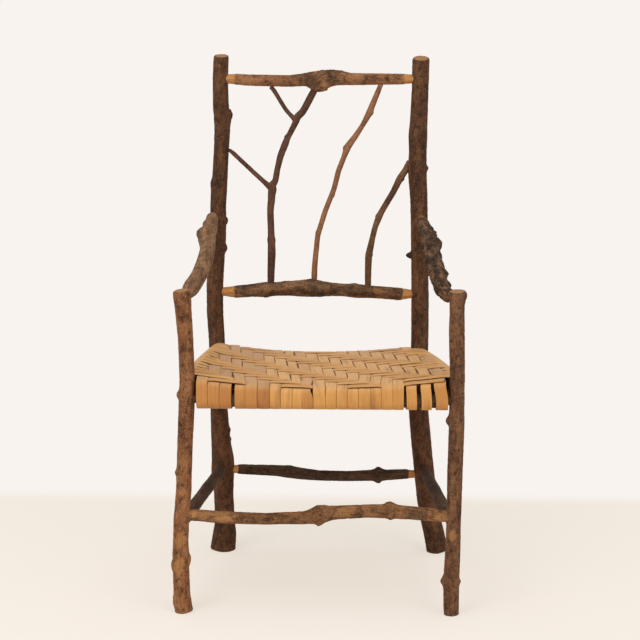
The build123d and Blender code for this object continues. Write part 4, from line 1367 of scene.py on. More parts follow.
@dataclass
class Weave:
    """The splint seat, woven over its rails in a three-over, three-under twill.

    Attributes:
        first: Place of the first warp from the middle, at the front rail.
        pitch: Distance between the warps.
        skew: Sideways run of the warps for each step back.
        front_shift: Shift of each warp at the front rail, in millimetres.
        widths: Width of each warp there, in millimetres.
        warp_tones: How pale each warp is, from 0 to 1.
        weft_tones: The same for the deepest and the palest weft.
        settle: Depth at which the warps have reached their even places.
        first_whole: First warp that reaches the back rail.
        trim: How much narrower the warps are than their spaces.
        width: Usual width of a weft.
        weft_first: Depth of the first whole weft.
        weft_pitch: Distance between the wefts.
        wefts: Their number, with the short one in front.
        filler: Depth of that short one.
        filler_width: Its width.
        top: Height of the weave at the front.
        fall: How far it falls for each step back.
        sag: How far it hangs between the side rails.
        back_lift: How much less it hangs at the back.
        left_rise: Its rise over the left rail, at the back.
        left_lift: Rise of the wefts round that rail.
        bulge: How far wefts stand off the side rails at most.
        edge: Depth before which it falls to the front rail.
        edge_run: Length of its two drops.
        edge_drop: How far it falls at the front over that length.
        last_depth: Depth behind which it falls to the back rail.
        back_drop: How far it falls there over the same length.
        under: Height of the weave underneath.
        under_fall: How far that falls for each step back.
        level: Distance of a splint from the weave's middle.
        under_level: The same underneath.
        hold: Half the length that a crossing is level for.
        front_crease: The front crease's distance before its rail's middle.
        under_filler: Its drop where a warp goes under the short weft.
        front_foot: Height over that middle where the warps stand straight.
        back_crease: The back crease's distance behind its rail's middle.
        gap: Distance from a rail's bark to a splint's middle.
        side_gap: How much more that is at the side rails.
        loose: How far splints stand off the even weave at most.
        tails: Depths of a tucked-in tail's control points.
        tail_drop: How far below the weave a tail lies.
        side_shift: Place of the seat's middle to the right of the frame's.
        dust: How dusty the wefts and the warps are on the seat, and how much painted top light they have.
        side_dust_and_light: How dusty the wefts are on top of the side rails, and how much painted top
            light they have.
        slips: Crossings that break the twill, as warp and weft.
        lean: How far a warp leans to the right at the front crease.
        lean_reach: How far back that lean is felt.
        fan_from: Warp from which the wefts drift apart to the right.
        spread: How far they drift at most.
        regather: How much of that drift is left at the right side rail.
        loop_width: How much wider wefts are round rails and underneath.
    """

    first: float = -208.5 * MM
    pitch: float = 21.75 * MM
    skew: float = -0.1
    front_shift: tuple[float, ...] = (
        -0.4, -1.1, -1.4, 3.4, 2.1, 2.9, 2.6, 1.4, -1.4, -4.1, -4.4,
        -5.2, -6.9, -8.7, -9.9, -11.2, -12.4, -13.7, -10.9, -5.7, 0.1,
    )
    widths: tuple[float, ...] = (
        21, 21, 22, 19, 22, 22.5, 20, 21, 17, 21, 22, 20, 20, 20, 21, 20, 21, 20, 19, 19, 22,
    )
    warp_tones: tuple[float, ...] = (
        0.4, 0.35, 0.2, 0.4, 0.35, 0.2, 0.8, 0.95, 0.85, 0.45, 0.8,
        0.75, 0.7, 0.75, 0.65, 0.6, 0.7, 0.6, 0.65, 0.75, 0.4,
    )
    weft_tones: tuple[float, float] = (0.5, 0.95)
    settle: float = 110 * MM
    first_whole: int = 3
    trim: float = 0.3 * MM
    width: float = 20.2 * MM
    weft_first: float = 28 * MM
    weft_pitch: float = 24.2 * MM
    wefts: int = 16
    filler: float = 1.5 * MM
    filler_width: float = 17.5 * MM
    top: float = 446.5 * MM
    fall: float = 0.0225
    sag: float = 18.5 * MM
    back_lift: float = 5 * MM
    left_rise: float = 6 * MM
    left_lift: float = 2 * MM
    bulge: float = 4.5 * MM
    edge: float = 11 * MM
    edge_run: float = 20 * MM
    edge_drop: float = 2 * MM
    last_depth: float = 396 * MM
    back_drop: float = 5 * MM
    under: float = 386 * MM
    under_fall: float = 0.015
    level: float = 1.3 * MM
    under_level: float = 1.6 * MM
    hold: float = 8.0 * MM
    front_crease: float = 14.6 * MM
    under_filler: float = 2.2 * MM
    front_foot: float = 4 * MM
    back_crease: float = 15.5 * MM
    gap: float = 1.5 * MM
    side_gap: float = 0.5 * MM
    loose: float = 0.45 * MM
    tails: tuple[float, ...] = (60 * MM, 30 * MM)
    tail_drop: float = 1 * MM
    side_shift: float = 0.6 * MM
    dust: tuple[float, float] = (0.35, 1.0)
    side_dust_and_light: float = 0.8
    slips: frozenset[tuple[int, int]] = frozenset({(18, 0)})
    lean: dict[int, float] = field(
        default_factory=lambda: {
            2: 0.4 * MM, 9: -5 * MM, 10: -1 * MM, 18: -1.5 * MM, 19: -2.5 * MM, 20: -4.5 * MM,
        }
    )
    lean_reach: float = 60 * MM
    fan_from: int = 12
    spread: float = 5 * MM
    regather: float = 0.4
    loop_width: float = 1.17

    SEED = 11
    TWILL = 3
    UNDER_TWILL = 6
    UNDER_WARPS = range(4, 17)
    FIRST_WEFT_STRIP = 40
    DOWN = (0, 0, -1)
    LEFT_EDGE, FRONT_EDGE = 5, 1.5
    LEVEL_FACE = 0.8
    SLOPE_STEP = 1 * MM
    RAIL_CUTS = (0.3, 0.7)

    # A spline through control points on a circle has this much of the radius of the circle.
    # Their angles run up from the back on a level rail, and from level on a side rail.
    ROUND_CONTROL = 0.902
    ROUND_FRONT = (-67.5, -112.5, -157.5)
    ROUND_BACK = (-22.5, -67.5)
    ROUND_SIDE = (112.5, 67.5, 22.5, -22.5, -67.5, -100)

    # How a warp goes up the front: the part of its lean and climb that it has made, how far
    # it stands behind and above that, the way that its face looks, and its dusting and painted top light.
    CLIMB = (
        (0.0, -2.2 * MM, 0.0, (0, -1, 0), 0.0),
        (0.5, -1.3 * MM, 0.0, (0, -1, 0.05), 0.0),
        (1.0, -0.4 * MM, -5 * MM, (0, -1, 0.25), 0.1),
        (1.0, 1.6 * MM, 0.2 * MM, (0, -0.8, 0.6), 0.5),
    )
    # The same over the back crease, without the part.
    DESCENT = (
        (-5 * MM, 1 * MM, (0, 0.3, 1), 0.8),
        (0.0, -1.5 * MM, (0, 0.8, 0.6), 0.4),
        (0.5 * MM, -7 * MM, (0, 1, 0.1), 0.0),
    )

    def __post_init__(self) -> None:
        """Find the rails in the frame."""
        self.origin = np.array([self.side_shift, node_middle("front_seat_rail", 1), 0.0])
        self.left, self.right = (self.side_rail(f"side_seat_rail_{side}") for side in ("left", "right"))
        self.front, self.back = (self.level_rail(f"{side}_seat_rail") for side in ("front", "back"))
        self.chance = np.random.default_rng(self.SEED)
        self.fan = self.chance.uniform(-self.spread, self.spread, self.wefts)
        self.last = [self.last_row(warp) for warp in range(len(self.widths))]

    def side_rail(self, node: str) -> Rail:
        """Find a side rail's middle line."""
        triangles = mesh_triangles(node)
        low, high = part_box(node)
        ends = []
        for part in self.RAIL_CUTS:
            depth = low[1] + (high[1] - low[1]) * part
            middle, area = hull_middle(cut(triangles, 1, depth).reshape(-1, 3)[:, [0, 2]])
            ends.append(np.array([middle[0], depth, middle[1]]) - self.origin)
        return Rail(ends[0], ends[1], math.sqrt(area / math.pi))

    def level_rail(self, node: str) -> Rail:
        """Find the front or back rail's middle line."""
        low, high = (np.array(v) - self.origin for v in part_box(node))
        middle = (low + high) / 2
        start, end = np.array([low[0], *middle[1:]]), np.array([high[0], *middle[1:]])
        return Rail(start, end, (high[1] - low[1]) / 2)

    def warp_x(self, warp: int, depth: float) -> float:
        """Sideways place of a warp at a depth."""
        part = min(max((self.settle - depth) / self.settle, 0), 1)
        shift = self.front_shift[warp] * MM * part * part * (3 - 2 * part)
        lean = self.lean.get(warp, 0.0) * min(max(1 - depth / self.lean_reach, 0), 1)
        return self.first + warp * self.pitch + self.skew * depth + shift + lean

    def weft_y(self, weft: int) -> float:
        """Depth of a weft."""
        return self.weft_first + (weft - 1) * self.weft_pitch if weft else self.filler

    def part_back(self, depth: float) -> float:
        """How far back a depth is, from 0 at the front rail to 1 at the back."""
        return min(max(depth / self.last_depth, 0), 1)

    def height(self, x: float, depth: float) -> float:
        """The middle of the weave on the seat."""
        left, right = self.left.at(depth)[0], self.right.at(depth)[0]
        across = (2 * x - left - right) / (right - left)
        rise = self.left_rise * max(-across, 0) ** self.LEFT_EDGE * self.part_back(depth)
        before = max(self.edge - depth, 0) / self.edge_run
        behind = max(depth - self.last_depth, 0) / self.edge_run
        drop = self.edge_drop * before**self.FRONT_EDGE + self.back_drop * behind
        sag = self.sag - self.back_lift * self.part_back(depth)
        return self.top - self.fall * depth - sag * (1 - across**2) + rise - drop

    def under_height(self, depth: float, side: int) -> float:
        """Height of a splint underneath, above the other set or below it."""
        return self.under - self.under_fall * depth + side * self.under_level

    def up(self, x: float, depth: float) -> np.ndarray:
        """The way that the seat faces at a place."""
        step = self.SLOPE_STEP
        slope_x = (self.height(x + step, depth) - self.height(x - step, depth)) / (2 * step)
        slope_y = (self.height(x, depth + step) - self.height(x, depth - step)) / (2 * step)
        return np.array([-slope_x, -slope_y, 1.0])

    def over(self, warp: int, weft: int) -> bool:
        """Whether a warp passes over a weft on the seat."""
        return (warp, weft) not in self.slips and (warp + weft + 2) % (2 * self.TWILL) < self.TWILL

    def under_over(self, warp: int, weft: int) -> bool:
        """Whether a warp passes above a weft underneath."""
        return warp in self.UNDER_WARPS and (warp + weft) % (2 * self.UNDER_TWILL) < self.UNDER_TWILL

    def last_row(self, warp: int) -> int:
        """The last weft that a warp crosses before a side rail or the back."""
        free = []
        for weft in range(self.wefts):
            y = self.weft_y(weft)
            inner = self.left.at(y)[0] + self.left.radius, self.right.at(y)[0] - self.right.radius
            if inner[0] < self.warp_x(warp, y) < inner[1]:
                free.append(weft)
        if free[-1] == self.wefts - 1 and warp >= self.first_whole:
            return free[-1]
        return max(row for row in free if not self.over(warp, row))

    def round_rail(self, strand: Strand, rail: Rail, x: float, angles: tuple[float, ...]) -> None:
        """Lead a warp round the front or back rail.

        Args:
            strand: The warp's control points so far.
            rail: The rail.
            x: The warp's sideways place.
            angles: Angles up from the back at which it gets a control point.
        """
        reach = (rail.radius + self.gap) / self.ROUND_CONTROL
        for angle in angles:
            way = np.array([0, math.cos(math.radians(angle)), math.sin(math.radians(angle))])
            strand.lay([x, rail.start[1] + way[1] * reach, rail.start[2] + way[2] * reach], way)

    def warp(self, warp: int) -> dict[str, Any]:
        """Lay one warp from underneath, over the front rail, the seat and the back rail."""
        strand = Strand()
        whole = self.last[warp] == self.wefts - 1
        top_x = self.warp_x(warp, 0)
        front_x = top_x - self.lean.get(warp, 0.0)
        if not whole:
            for depth in self.tails:
                strand.lay([front_x, depth, self.under - self.tail_drop], self.DOWN)
        self.round_rail(strand, self.front, front_x, self.ROUND_FRONT)
        crease = self.height(front_x, -self.front_crease)
        crease -= 0 if self.over(warp, 0) else self.under_filler
        before = -self.front_crease - self.chance.uniform(0, self.loose)
        low = self.front.start[2] + self.front_foot
        for part, behind, above, out, dust in self.CLIMB:
            x = front_x + (top_x - front_x) * part
            strand.lay([x, before + behind, low + (crease - low) * part + above], out, dust)
        for weft in range(self.last[warp] + 1):
            self.cross_top(strand, warp, weft, 1, 1 if self.over(warp, weft) else -1)
        if whole:
            self.warp_behind(strand, warp)
        return self.line(strand, warp, self.widths[warp] * MM - self.trim, self.warp_tones[warp], whole)

    def cross_top(self, strand: Strand, warp: int, weft: int, axis: int, side: int) -> None:
        """Lay a splint level over one crossing of the seat.

        Args:
            strand: The splint's control points so far.
            warp: The warp of the crossing.
            weft: The weft of the crossing.
            axis: The axis that the splint runs along, 0 for a weft and 1 for a warp.
            side: 1 where it lies on top and -1 where it lies below.
        """
        y = self.weft_y(weft)
        if axis == 0:
            y += self.fan[weft] * max(warp - self.fan_from, 0) / (len(self.widths) - self.fan_from)
        for step in (-self.hold, self.hold):
            depth = y + step if axis == 1 else y
            x = self.warp_x(warp, depth) + (step if axis == 0 else 0)
            point = [x, depth, self.height(x, depth) + side * self.level]
            # A splint that lies below is marked for painted shade; the top tone it gets is partly dusty
            # wear and partly painted light.
            strand.lay(point, self.up(x, depth), self.dust[axis], float(side < 0))

    def warp_behind(self, strand: Strand, warp: int) -> None:
        """Lead a warp over the back crease, round the back rail and forwards underneath."""
        depth = self.back.start[1] + self.back_crease
        x = self.warp_x(warp, depth)
        crease = self.height(x, depth)
        for behind, above, out, dust in self.DESCENT:
            strand.lay([x, depth + behind, crease + above], out, dust)
        self.round_rail(strand, self.back, x, self.ROUND_BACK)
        for weft in range(self.wefts - 1, 0, -1):
            side = 1 if self.under_over(warp, weft) else -1
            for step in (self.hold, -self.hold):
                y = self.weft_y(weft) + step
                strand.lay([self.warp_x(warp, y), y, self.under_height(y, side)], self.DOWN)

    def weft(self, weft: int) -> dict[str, Any]:
        """Lay one weft over the seat, round the right rail, underneath and round the left rail."""
        strand = Strand()
        y = self.weft_y(weft)
        for warp in range(len(self.widths)):
            if weft <= self.last[warp]:
                self.cross_top(strand, warp, weft, 0, -1 if self.over(warp, weft) else 1)
        if weft:
            self.round_side(strand, self.right, y + self.fan[weft] * self.regather, 1)
            for warp in reversed(range(self.UNDER_WARPS[0] - 1, self.UNDER_WARPS[-1] + 2)):
                height = self.under_height(y, -1 if self.under_over(warp, weft) else 1)
                for step in (self.hold, -self.hold):
                    strand.lay([self.warp_x(warp, y) + step, y, height], self.DOWN)
            self.round_side(strand, self.left, y, -1)
        tone = self.chance.uniform(*self.weft_tones)
        width = self.width if weft else self.filler_width
        widths = width * np.where(np.array(strand.out)[:, 2] > self.LEVEL_FACE, 1.0, self.loop_width)
        return self.line(strand, self.FIRST_WEFT_STRIP + weft, widths, tone, weft > 0)

    def round_side(self, strand: Strand, rail: Rail, depth: float, way: int) -> None:
        """Lead a weft round the outside of a side rail.

        Args:
            strand: The weft's control points so far.
            rail: The rail.
            depth: The weft's depth.
            way: 1 to go down on the right and -1 to come up on the left.
        """
        middle = rail.at(depth)
        bulge = self.bulge * math.sin(math.pi * self.part_back(depth))
        reach = (rail.radius + self.gap + self.side_gap + bulge) / self.ROUND_CONTROL
        rise = self.left_rise * self.part_back(depth) + self.left_lift if way < 0 else 0.0
        for angle in self.ROUND_SIDE[::way]:
            turn = math.radians(angle)
            out = np.array([way * math.cos(turn), 0, math.sin(turn)])
            lifted = np.array([0, 0, rise * max(out[2], 0)])
            # The weft's upward faces round the rail get the top tone: partly dusty wear, partly painted
            # light.
            strand.lay(middle + out * reach + lifted, out, max(0.0, out[2]) * self.side_dust_and_light)

    def line(self, strand: Strand, number: int, width: Any, tone: float, closed: bool) -> dict[str, Any]:
        """Gather the guide of one splint.

        Args:
            strand: Its control points.
            number: A number that makes its fibres its own.
            width: Its width, or its width at each point.
            tone: How pale it is, from 0 to 1.
            closed: Whether it goes all the way round.

        Returns:
            Its points with their attributes.
        """
        count = len(strand.points)
        return {
            "points": np.array(strand.points) + self.origin,
            "closed": closed,
            "out": np.array(strand.out),
            "width": np.broadcast_to(width, count),
            "tone": np.full(count, tone),
            "dust": np.array(strand.dust),
            "strip": np.full(count, float(number)),
            "dive": np.array(strand.dive),
        }

    def build(self) -> None:
        """Weave the seat in two pieces, the warps and the wefts."""
        tree = SplintTree().built()
        finish = Splint("splint_wood")
        warps = [self.warp(warp) for warp in range(len(self.widths))]
        wefts = [self.weft(weft) for weft in range(self.wefts)]
        for node, slot, lines in (
            ("seat_warp_splints", "warp_splint", warps), ("seat_weft_splints", "weft_splint", wefts)
        ):
            guide = guide_object(f"{node}_woven", lines)
            piece = grow(f"{node}_woven", guide, tree, {"Material": finish.material()})
            settle(piece, node, slot)


@dataclass(frozen=True)
class Lamp:
    """One square soft lamp."""

    name: str
    place: tuple[float, float, float]
    aim: tuple[float, float, float]
    size: float
    power: float

    COLOUR = (1.0, 0.975, 0.94)

    def hang(self) -> None:
        """Hang the lamp."""
        light = bpy.data.lights.new(self.name, "AREA")
        light.shape = "SQUARE"
        light.size = self.size
        light.energy = self.power
        light.color = self.COLOUR
        lamp = new_object(self.name, light)
        way = np.array(self.aim, dtype=float) - np.array(self.place, dtype=float)
        lamp.location = self.place
        level = math.hypot(way[0], way[1])
        lamp.rotation_euler = (math.atan2(level, -way[2]), 0, math.atan2(way[1], way[0]) - math.pi / 2)


@dataclass
class Studio:
    """The pale floor and backdrop, the soft lamps and the camera."""

    focal: float = 93.375
    sensor: float = 36
    eye: tuple[float, float, float] = (0.10917, -3.18321, 1.020)
    tilt: float = 81.0
    turn: float = 2.0
    floor_colour: Colour = srgb(252, 243, 240)
    floor_glow: Colour = srgb(255, 247, 234)
    wall_colour: Colour = srgb(248, 243, 239)
    turns_up: tuple[float, float] = (0.53, 0.66)
    sheet_reach: float = 40.0
    room_colour: Colour = srgb(250, 248, 245)
    room_light: float = 0.45
    lamps: tuple[Lamp, ...] = (
        Lamp("key_lamp", (-1.6, -2.7, 2.4), (0, 0, 0.5), 2.2, 44),
        Lamp("fill_lamp", (2.2, -2.6, 1.9), (0, 0, 0.45), 2.4, 25),
        Lamp("top_lamp", (0.0, -0.3, 3.2), (0, 0, 0.3), 2.8, 26),
    )

    def build(self) -> None:
        """Make the camera, the paper and the lamps."""
        self.camera()
        self.sheet()
        for lamp in self.lamps:
            lamp.hang()
        self.sky()

    def camera(self) -> None:
        """Stand the camera in front of the chair, a little to its right."""
        lens = bpy.data.cameras.new("camera")
        lens.lens = self.focal
        lens.sensor_width = self.sensor
        lens.sensor_fit = "HORIZONTAL"
        camera = new_object("camera", lens)
        camera.location = self.eye
        camera.rotation_euler = (math.radians(self.tilt), 0, math.radians(self.turn))
        bpy.context.scene.camera = camera

    def sheet(self) -> None:
        """Lay one wide sheet of paper as the floor."""
        reach = self.sheet_reach
        mesh = bpy.data.meshes.new("studio_paper")
        corners = [(-reach, -reach, 0), (reach, -reach, 0), (reach, reach, 0), (-reach, reach, 0)]
        mesh.from_pydata(corners, [], [(0, 1, 2, 3)])
        paper = Paper("paper", self.floor_colour, self.floor_glow, self.wall_colour, self.turns_up)
        mesh.materials.append(paper.material())
        new_object("studio_paper", mesh)

    def sky(self) -> None:
        """Fill the room with even light, and show the wall's tone where only the room is seen."""
        world = bpy.data.worlds.new("room")
        world.use_nodes = True
        graph = Graph(world.node_tree)
        room = world.node_tree.nodes["Background"]
        graph.fill(room, {"Color": self.room_colour, "Strength": self.room_light})
        wall = graph.add("ShaderNodeBackground", {"Color": self.wall_colour, "Strength": 1.0})
        feeds = {0: graph.seen(), 1: room.outputs[0], 2: wall.outputs[0]}
        both = graph.add("ShaderNodeMixShader", feeds)
        graph.feed(world.node_tree.nodes["World Output"].inputs["Surface"], both.outputs[0])
        bpy.context.scene.world = world
        bpy.context.scene.view_settings.view_transform = "Standard"


@dataclass
class Frame:
    """The bark-on frame: posts, rails, twigs, arms and stretchers."""

    back_slant: float = 14 * MM
    front_slant: float = 4 * MM
    low_fork: tuple[float, float] = (1 * MM, 76 * MM)
    high_fork: tuple[float, float] = (84 * MM, 128 * MM)

    DARK = Bark("bark_dark", srgb(84, 54, 34), srgb(112, 76, 50), srgb(52, 34, 22), seed=1.0)
    RED = Bark("bark_red", srgb(132, 86, 54), srgb(168, 116, 76), srgb(84, 52, 32), seed=2.0)
    BROWN = Bark("bark_brown", srgb(106, 70, 46), srgb(138, 98, 68), srgb(64, 43, 28), seed=3.0)
    CREST = Bark(
        "bark_crest", srgb(140, 96, 65), srgb(172, 124, 84), srgb(100, 66, 43), mottle=0.45, seed=4.0
    )
    LOWER = Bark("bark_lower", srgb(96, 65, 45), srgb(148, 112, 80), srgb(48, 33, 24), seed=13.0)
    GREY = Bark(
        "bark_grey", srgb(122, 88, 62), srgb(158, 121, 88), srgb(72, 49, 34), patchy=70.0, seed=5.0
    )
    BLACK = Bark(
        "bark_black", srgb(58, 42, 31), srgb(132, 96, 68), srgb(24, 18, 14),
        mottle=0.5, patchy=95.0, seed=6.0,
    )
    TWIG = Bark(
        "bark_twig", srgb(84, 56, 42), srgb(108, 76, 58), srgb(58, 38, 28), mottle=0.35, seed=7.0
    )
    PALE_TWIG = Bark(
        "bark_pale_twig", srgb(134, 90, 61), srgb(158, 112, 79), srgb(94, 61, 40), mottle=0.4, seed=8.0
    )
    MID_TWIG = Bark(
        "bark_mid_twig", srgb(94, 64, 43), srgb(128, 92, 64), srgb(58, 39, 27), mottle=0.5, seed=9.0
    )
    STRETCHER = Bark("bark_stretcher", srgb(128, 88, 56), srgb(160, 116, 76), srgb(82, 54, 34), seed=10.0)
    DEEP = Bark("bark_deep", srgb(66, 46, 32), srgb(92, 68, 50), srgb(40, 28, 20), seed=11.0)
    SEAT = Bark("bark_seat", srgb(70, 50, 35), srgb(96, 70, 50), srgb(46, 32, 23), seed=12.0)

    BACK_LEFT_MARKS = (
        Mark(903, 0, 10, 4.2, rough=0.8, stretch=1.2), Mark(692, 180, 9, 3.5, rough=0.8),
        Mark(690, 0, 6, 3.2), Mark(634, 0, 6.5, 3.2, dark=0.8), Mark(255, 0, 5.5, 2.4),
        Mark(234, 10, 5, 2.2), Mark(1003, 265, 2.5, 0.3, bare=0.4, dark=0.0, stretch=2.0),
        Mark(765, 200, 8, 1.6), Mark(520, 300, 6, 1.0), Mark(400, 240, 5, 0.6, dark=0.8),
        Mark(160, 330, 10, 1.6, dark=0.3),
    )
    BACK_RIGHT_MARKS = (
        Mark(797, 0, 6, 3.2), Mark(621, 185, 4.2, 11.0, dark=0.7),
        Mark(698, 285, 8, -0.5, bare=0.45, dark=0.0, stretch=0.8), Mark(866, 300, 12, 1.3, dark=0.3),
        Mark(960, 250, 5, 0.6, dark=0.7), Mark(560, 280, 6, 0.8), Mark(330, 250, 7, 1.0, dark=0.6),
        Mark(120, 210, 8, 1.4),
    )
    FRONT_LEFT_MARKS = (
        Mark(411, 180, 7, 3.4, rough=0.5), Mark(265, 180, 5.5, 2.4),
        Mark(101, 5, 8, 2.0, bare=0.4, dark=0.2), Mark(88, 180, 9, 2.6, bare=0.3, dark=0.3),
        Mark(143, 270, 11, -0.6, bare=0.45, dark=0.0, stretch=1.9),
        Mark(92, 262, 12, -0.6, bare=0.45, dark=0.0, stretch=2.1), Mark(560, 285, 6, 0.8, dark=0.6),
        Mark(500, 250, 5, 0.5, dark=0.8), Mark(330, 290, 6, 0.6, dark=0.6),
        Mark(220, 255, 5, 0.7, dark=0.7),
    )
    FRONT_RIGHT_MARKS = (
        Mark(367, 180, 6, 4.2, dark=0.6), Mark(64, 180, 7, 3.6), Mark(64, 0, 7, 2.8),
        Mark(154, 262, 9, -0.5, bare=0.45, dark=0.0, stretch=1.4), Mark(560, 250, 6, 0.8, dark=0.5),
        Mark(598, 0, 8, 2.0, dark=0.3), Mark(598, 180, 6, 1.4, dark=0.3),
        Mark(470, 290, 5, 0.6, dark=0.8), Mark(300, 255, 6, 0.8, dark=0.7),
        Mark(240, 285, 5, 0.6, dark=0.6),
    )
    CREST_MARKS = (
        Mark(14, 25, 18, 2.4, dark=1.0, rough=1.6, stretch=1.3),
        Mark(-28, 95, 21, 1.0, dark=1.0, rough=1.2, stretch=1.3),
        Mark(-2, 165, 8, 4.5, dark=0.75, bare=0.1, rough=0.8),
        Mark(16, 100, 17, 1.0, dark=0.95, rough=1.2), Mark(126, 80, 5, 0.9, dark=1.0),
        Mark(-120, 90, 5, 0.4, dark=0.6), Mark(80, 150, 6, 0.8, dark=0.6),
    )
    LOWER_MARKS = (
        Mark(-30, 20, 9, 1.8, dark=0.9, rough=0.8), Mark(-8, 110, 10, 1.6, dark=0.9, rough=1.0),
        Mark(61, 0, 6, 1.5), Mark(-120, 190, 7, 2.0, dark=0.6), Mark(-80, 10, 6, 1.2),
        Mark(25, 80, 6, 0.8, dark=0.5), Mark(110, 70, 9, -0.4, bare=0.3, dark=0.0, stretch=1.6),
        Mark(150, 180, 6, 1.2), Mark(-160, 60, 9, 0.6, dark=0.8, stretch=1.4),
        Mark(55, 110, 8, 0.6, dark=0.8, stretch=1.4),
    )
    STRETCHER_MARKS = (
        Mark(5, 0, 10, 2.4, dark=0.8, rough=0.6), Mark(1, 180, 6.5, 4.0, dark=0.9),
        Mark(134, 5, 7, 3.0, dark=0.8), Mark(136, 150, 6, 2.2, dark=0.8),
        Mark(-170, 100, 8, -0.3, bare=0.4, dark=0.0, stretch=2.2), Mark(-90, 80, 5, 0.5, dark=0.8),
        Mark(75, 110, 9, 0.6, dark=0.6, stretch=1.6), Mark(185, 80, 13, 0.4, dark=0.8, stretch=2.2),
        Mark(222, 95, 8, 0.4, bare=0.5, dark=0.0), Mark(-226, 60, 7, 0.2, bare=0.7, dark=0.0),
        Mark(60, 60, 9, 0.3, bare=0.25, dark=0.0, stretch=2.5),
    )
    BACK_STRETCHER_MARKS = (
        Mark(114, 0, 6, 3.6), Mark(113, 180, 6, 3.6), Mark(-71, 10, 9, 1.4), Mark(20, 90, 6, 0.8),
    )
    STEM_MARKS = (
        Mark(650, 0, 6, 1.3, dark=0.3), Mark(652, 180, 6, 1.3, dark=0.3),
        Mark(752, 10, 7, 1.4, dark=0.4), Mark(858, 185, 4, 1.6), Mark(600, 270, 4, 0.4, dark=0.6),
        Mark(700, 250, 4, 0.4, dark=0.7),
    )
    MIDDLE_TWIG_MARKS = (
        Mark(836, 185, 5, 2.2, dark=0.4), Mark(910, 0, 5, 2.0, dark=0.4),
        Mark(742, 0, 4, 1.0, dark=0.5), Mark(665, 190, 4, 0.9, dark=0.5),
    )
    SIDE_TWIG_MARKS = (
        Mark(778, 0, 5.5, 2.2, dark=0.5), Mark(698, 180, 5, 1.2, dark=0.5),
        Mark(622, 0, 5, 1.0, dark=0.4),
    )
    ARM_LEFT_MARKS = (
        Mark(77, 275, 12, 4.6, dark=0.7, rough=1.4), Mark(45, 300, 9, 3.4, dark=0.5, rough=1.0),
        Mark(60, 340, 7, 0.6, bare=0.4, dark=0.0), Mark(10, 330, 6, 0.8, dark=0.8),
        Mark(-60, 320, 7, 1.0, dark=0.7), Mark(-120, 350, 6, 0.8, dark=0.8),
        Mark(-165, 300, 7, 1.0, dark=0.6), Mark(120, 300, 10, 2.6, rough=1.0),
    )
    ARM_RIGHT_MARKS = (
        Mark(39, 75, 12, 4.6, dark=0.8, rough=2.0), Mark(77, 55, 10, 3.8, dark=0.8, rough=2.0),
        Mark(110, 80, 10, 2.6, dark=0.8, rough=1.6), Mark(-20, 70, 12, 2.0, dark=0.6, rough=2.0),
        Mark(-70, 90, 10, 2.0, dark=0.5, rough=1.6), Mark(-105, 80, 10, 3.6, dark=0.7, rough=1.6),
        Mark(-153, 85, 9, 3.2, dark=0.6, rough=1.4), Mark(84, 290, 9, 3.6, dark=0.8, rough=1.8),
        Mark(28, 280, 9, 3.4, dark=0.7, rough=1.8), Mark(-44, 285, 9, 3.0, dark=0.7, rough=1.8),
        Mark(-92, 275, 8, 3.4, dark=0.6, rough=1.6), Mark(56, 10, 11, 3.0, dark=0.8, rough=1.8),
        Mark(0, 350, 11, 2.6, dark=0.7, rough=1.8), Mark(-120, 350, 10, 2.4, dark=0.5, rough=1.4),
    )

    FIRST_UNMARKED_SEED = 14

    def branches(self) -> list[Branch]:
        """Every branch of the frame, from the posts to the seat rails."""
        return [*self.posts(), *self.back(), *self.arms_and_stretchers(), *self.unmarked()]

    def posts(self) -> list[Branch]:
        """The four posts."""
        rows = (
            ("back_post_left", self.DARK, "dark_bark", self.BACK_LEFT_MARKS, self.back_slant),
            ("back_post_right", self.DARK, "dark_bark", self.BACK_RIGHT_MARKS, self.back_slant),
            ("front_post_left", self.RED, "red_bark", self.FRONT_LEFT_MARKS, self.front_slant),
            ("front_post_right", self.BROWN, "brown_bark", self.FRONT_RIGHT_MARKS, self.front_slant),
        )
        return [
            Branch(node, Run.UPRIGHT, finish, slot, float(seed), marks, ends=Ends.BARK, slant=slant)
            for seed, (node, finish, slot, marks, slant) in enumerate(rows, 1)
        ]

    def forks(self) -> tuple[Fork, ...]:
        """The forked twig's two side limbs."""
        low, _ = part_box("forked_twig")
        lower, upper = (
            (low[0] + start, low[0] + end) for start, end in (self.low_fork, self.high_fork)
        )
        return (
            Fork(Run.SIDEWAYS, lower, Keep.LOWEST, Ends.START),
            Fork(Run.SIDEWAYS, upper, Keep.HIGHEST, Ends.HIDDEN),
        )

    def back(self) -> list[Branch]:
        """The two rails of the back and the three twigs."""
        up, over = Run.UPRIGHT, Run.SIDEWAYS
        return [
            Branch(
                "crest_rail", over, self.CREST, "crest_bark", 5.0, self.CREST_MARKS,
                tracer=Tracer(blunt=0.8, overcut=-3 * MM),
            ),
            Branch(
                "lower_back_rail", over, self.LOWER, "brown_bark", 6.0, self.LOWER_MARKS,
                tracer=Tracer(blunt=0.5, overcut=-2 * MM),
            ),
            Branch(
                "forked_twig", up, self.TWIG, "twig_bark", 7.0, self.STEM_MARKS, self.forks(),
                keep=Keep.RIGHTMOST, ends=Ends.HIDDEN, rough=0.35 * MM, furrows=0.25 * MM,
            ),
            Branch(
                "middle_twig", up, self.PALE_TWIG, "light_twig_bark", 8.0, self.MIDDLE_TWIG_MARKS,
                ends=Ends.HIDDEN, rough=0.35 * MM, furrows=0.25 * MM,
            ),
            Branch(
                "side_twig", up, self.MID_TWIG, "mid_twig_bark", 9.0, self.SIDE_TWIG_MARKS,
                ends=Ends.HIDDEN, rough=0.4 * MM, furrows=0.3 * MM,
                tracer=Tracer(root=14 * MM, flare=1.25, onward=True),
            ),
        ]

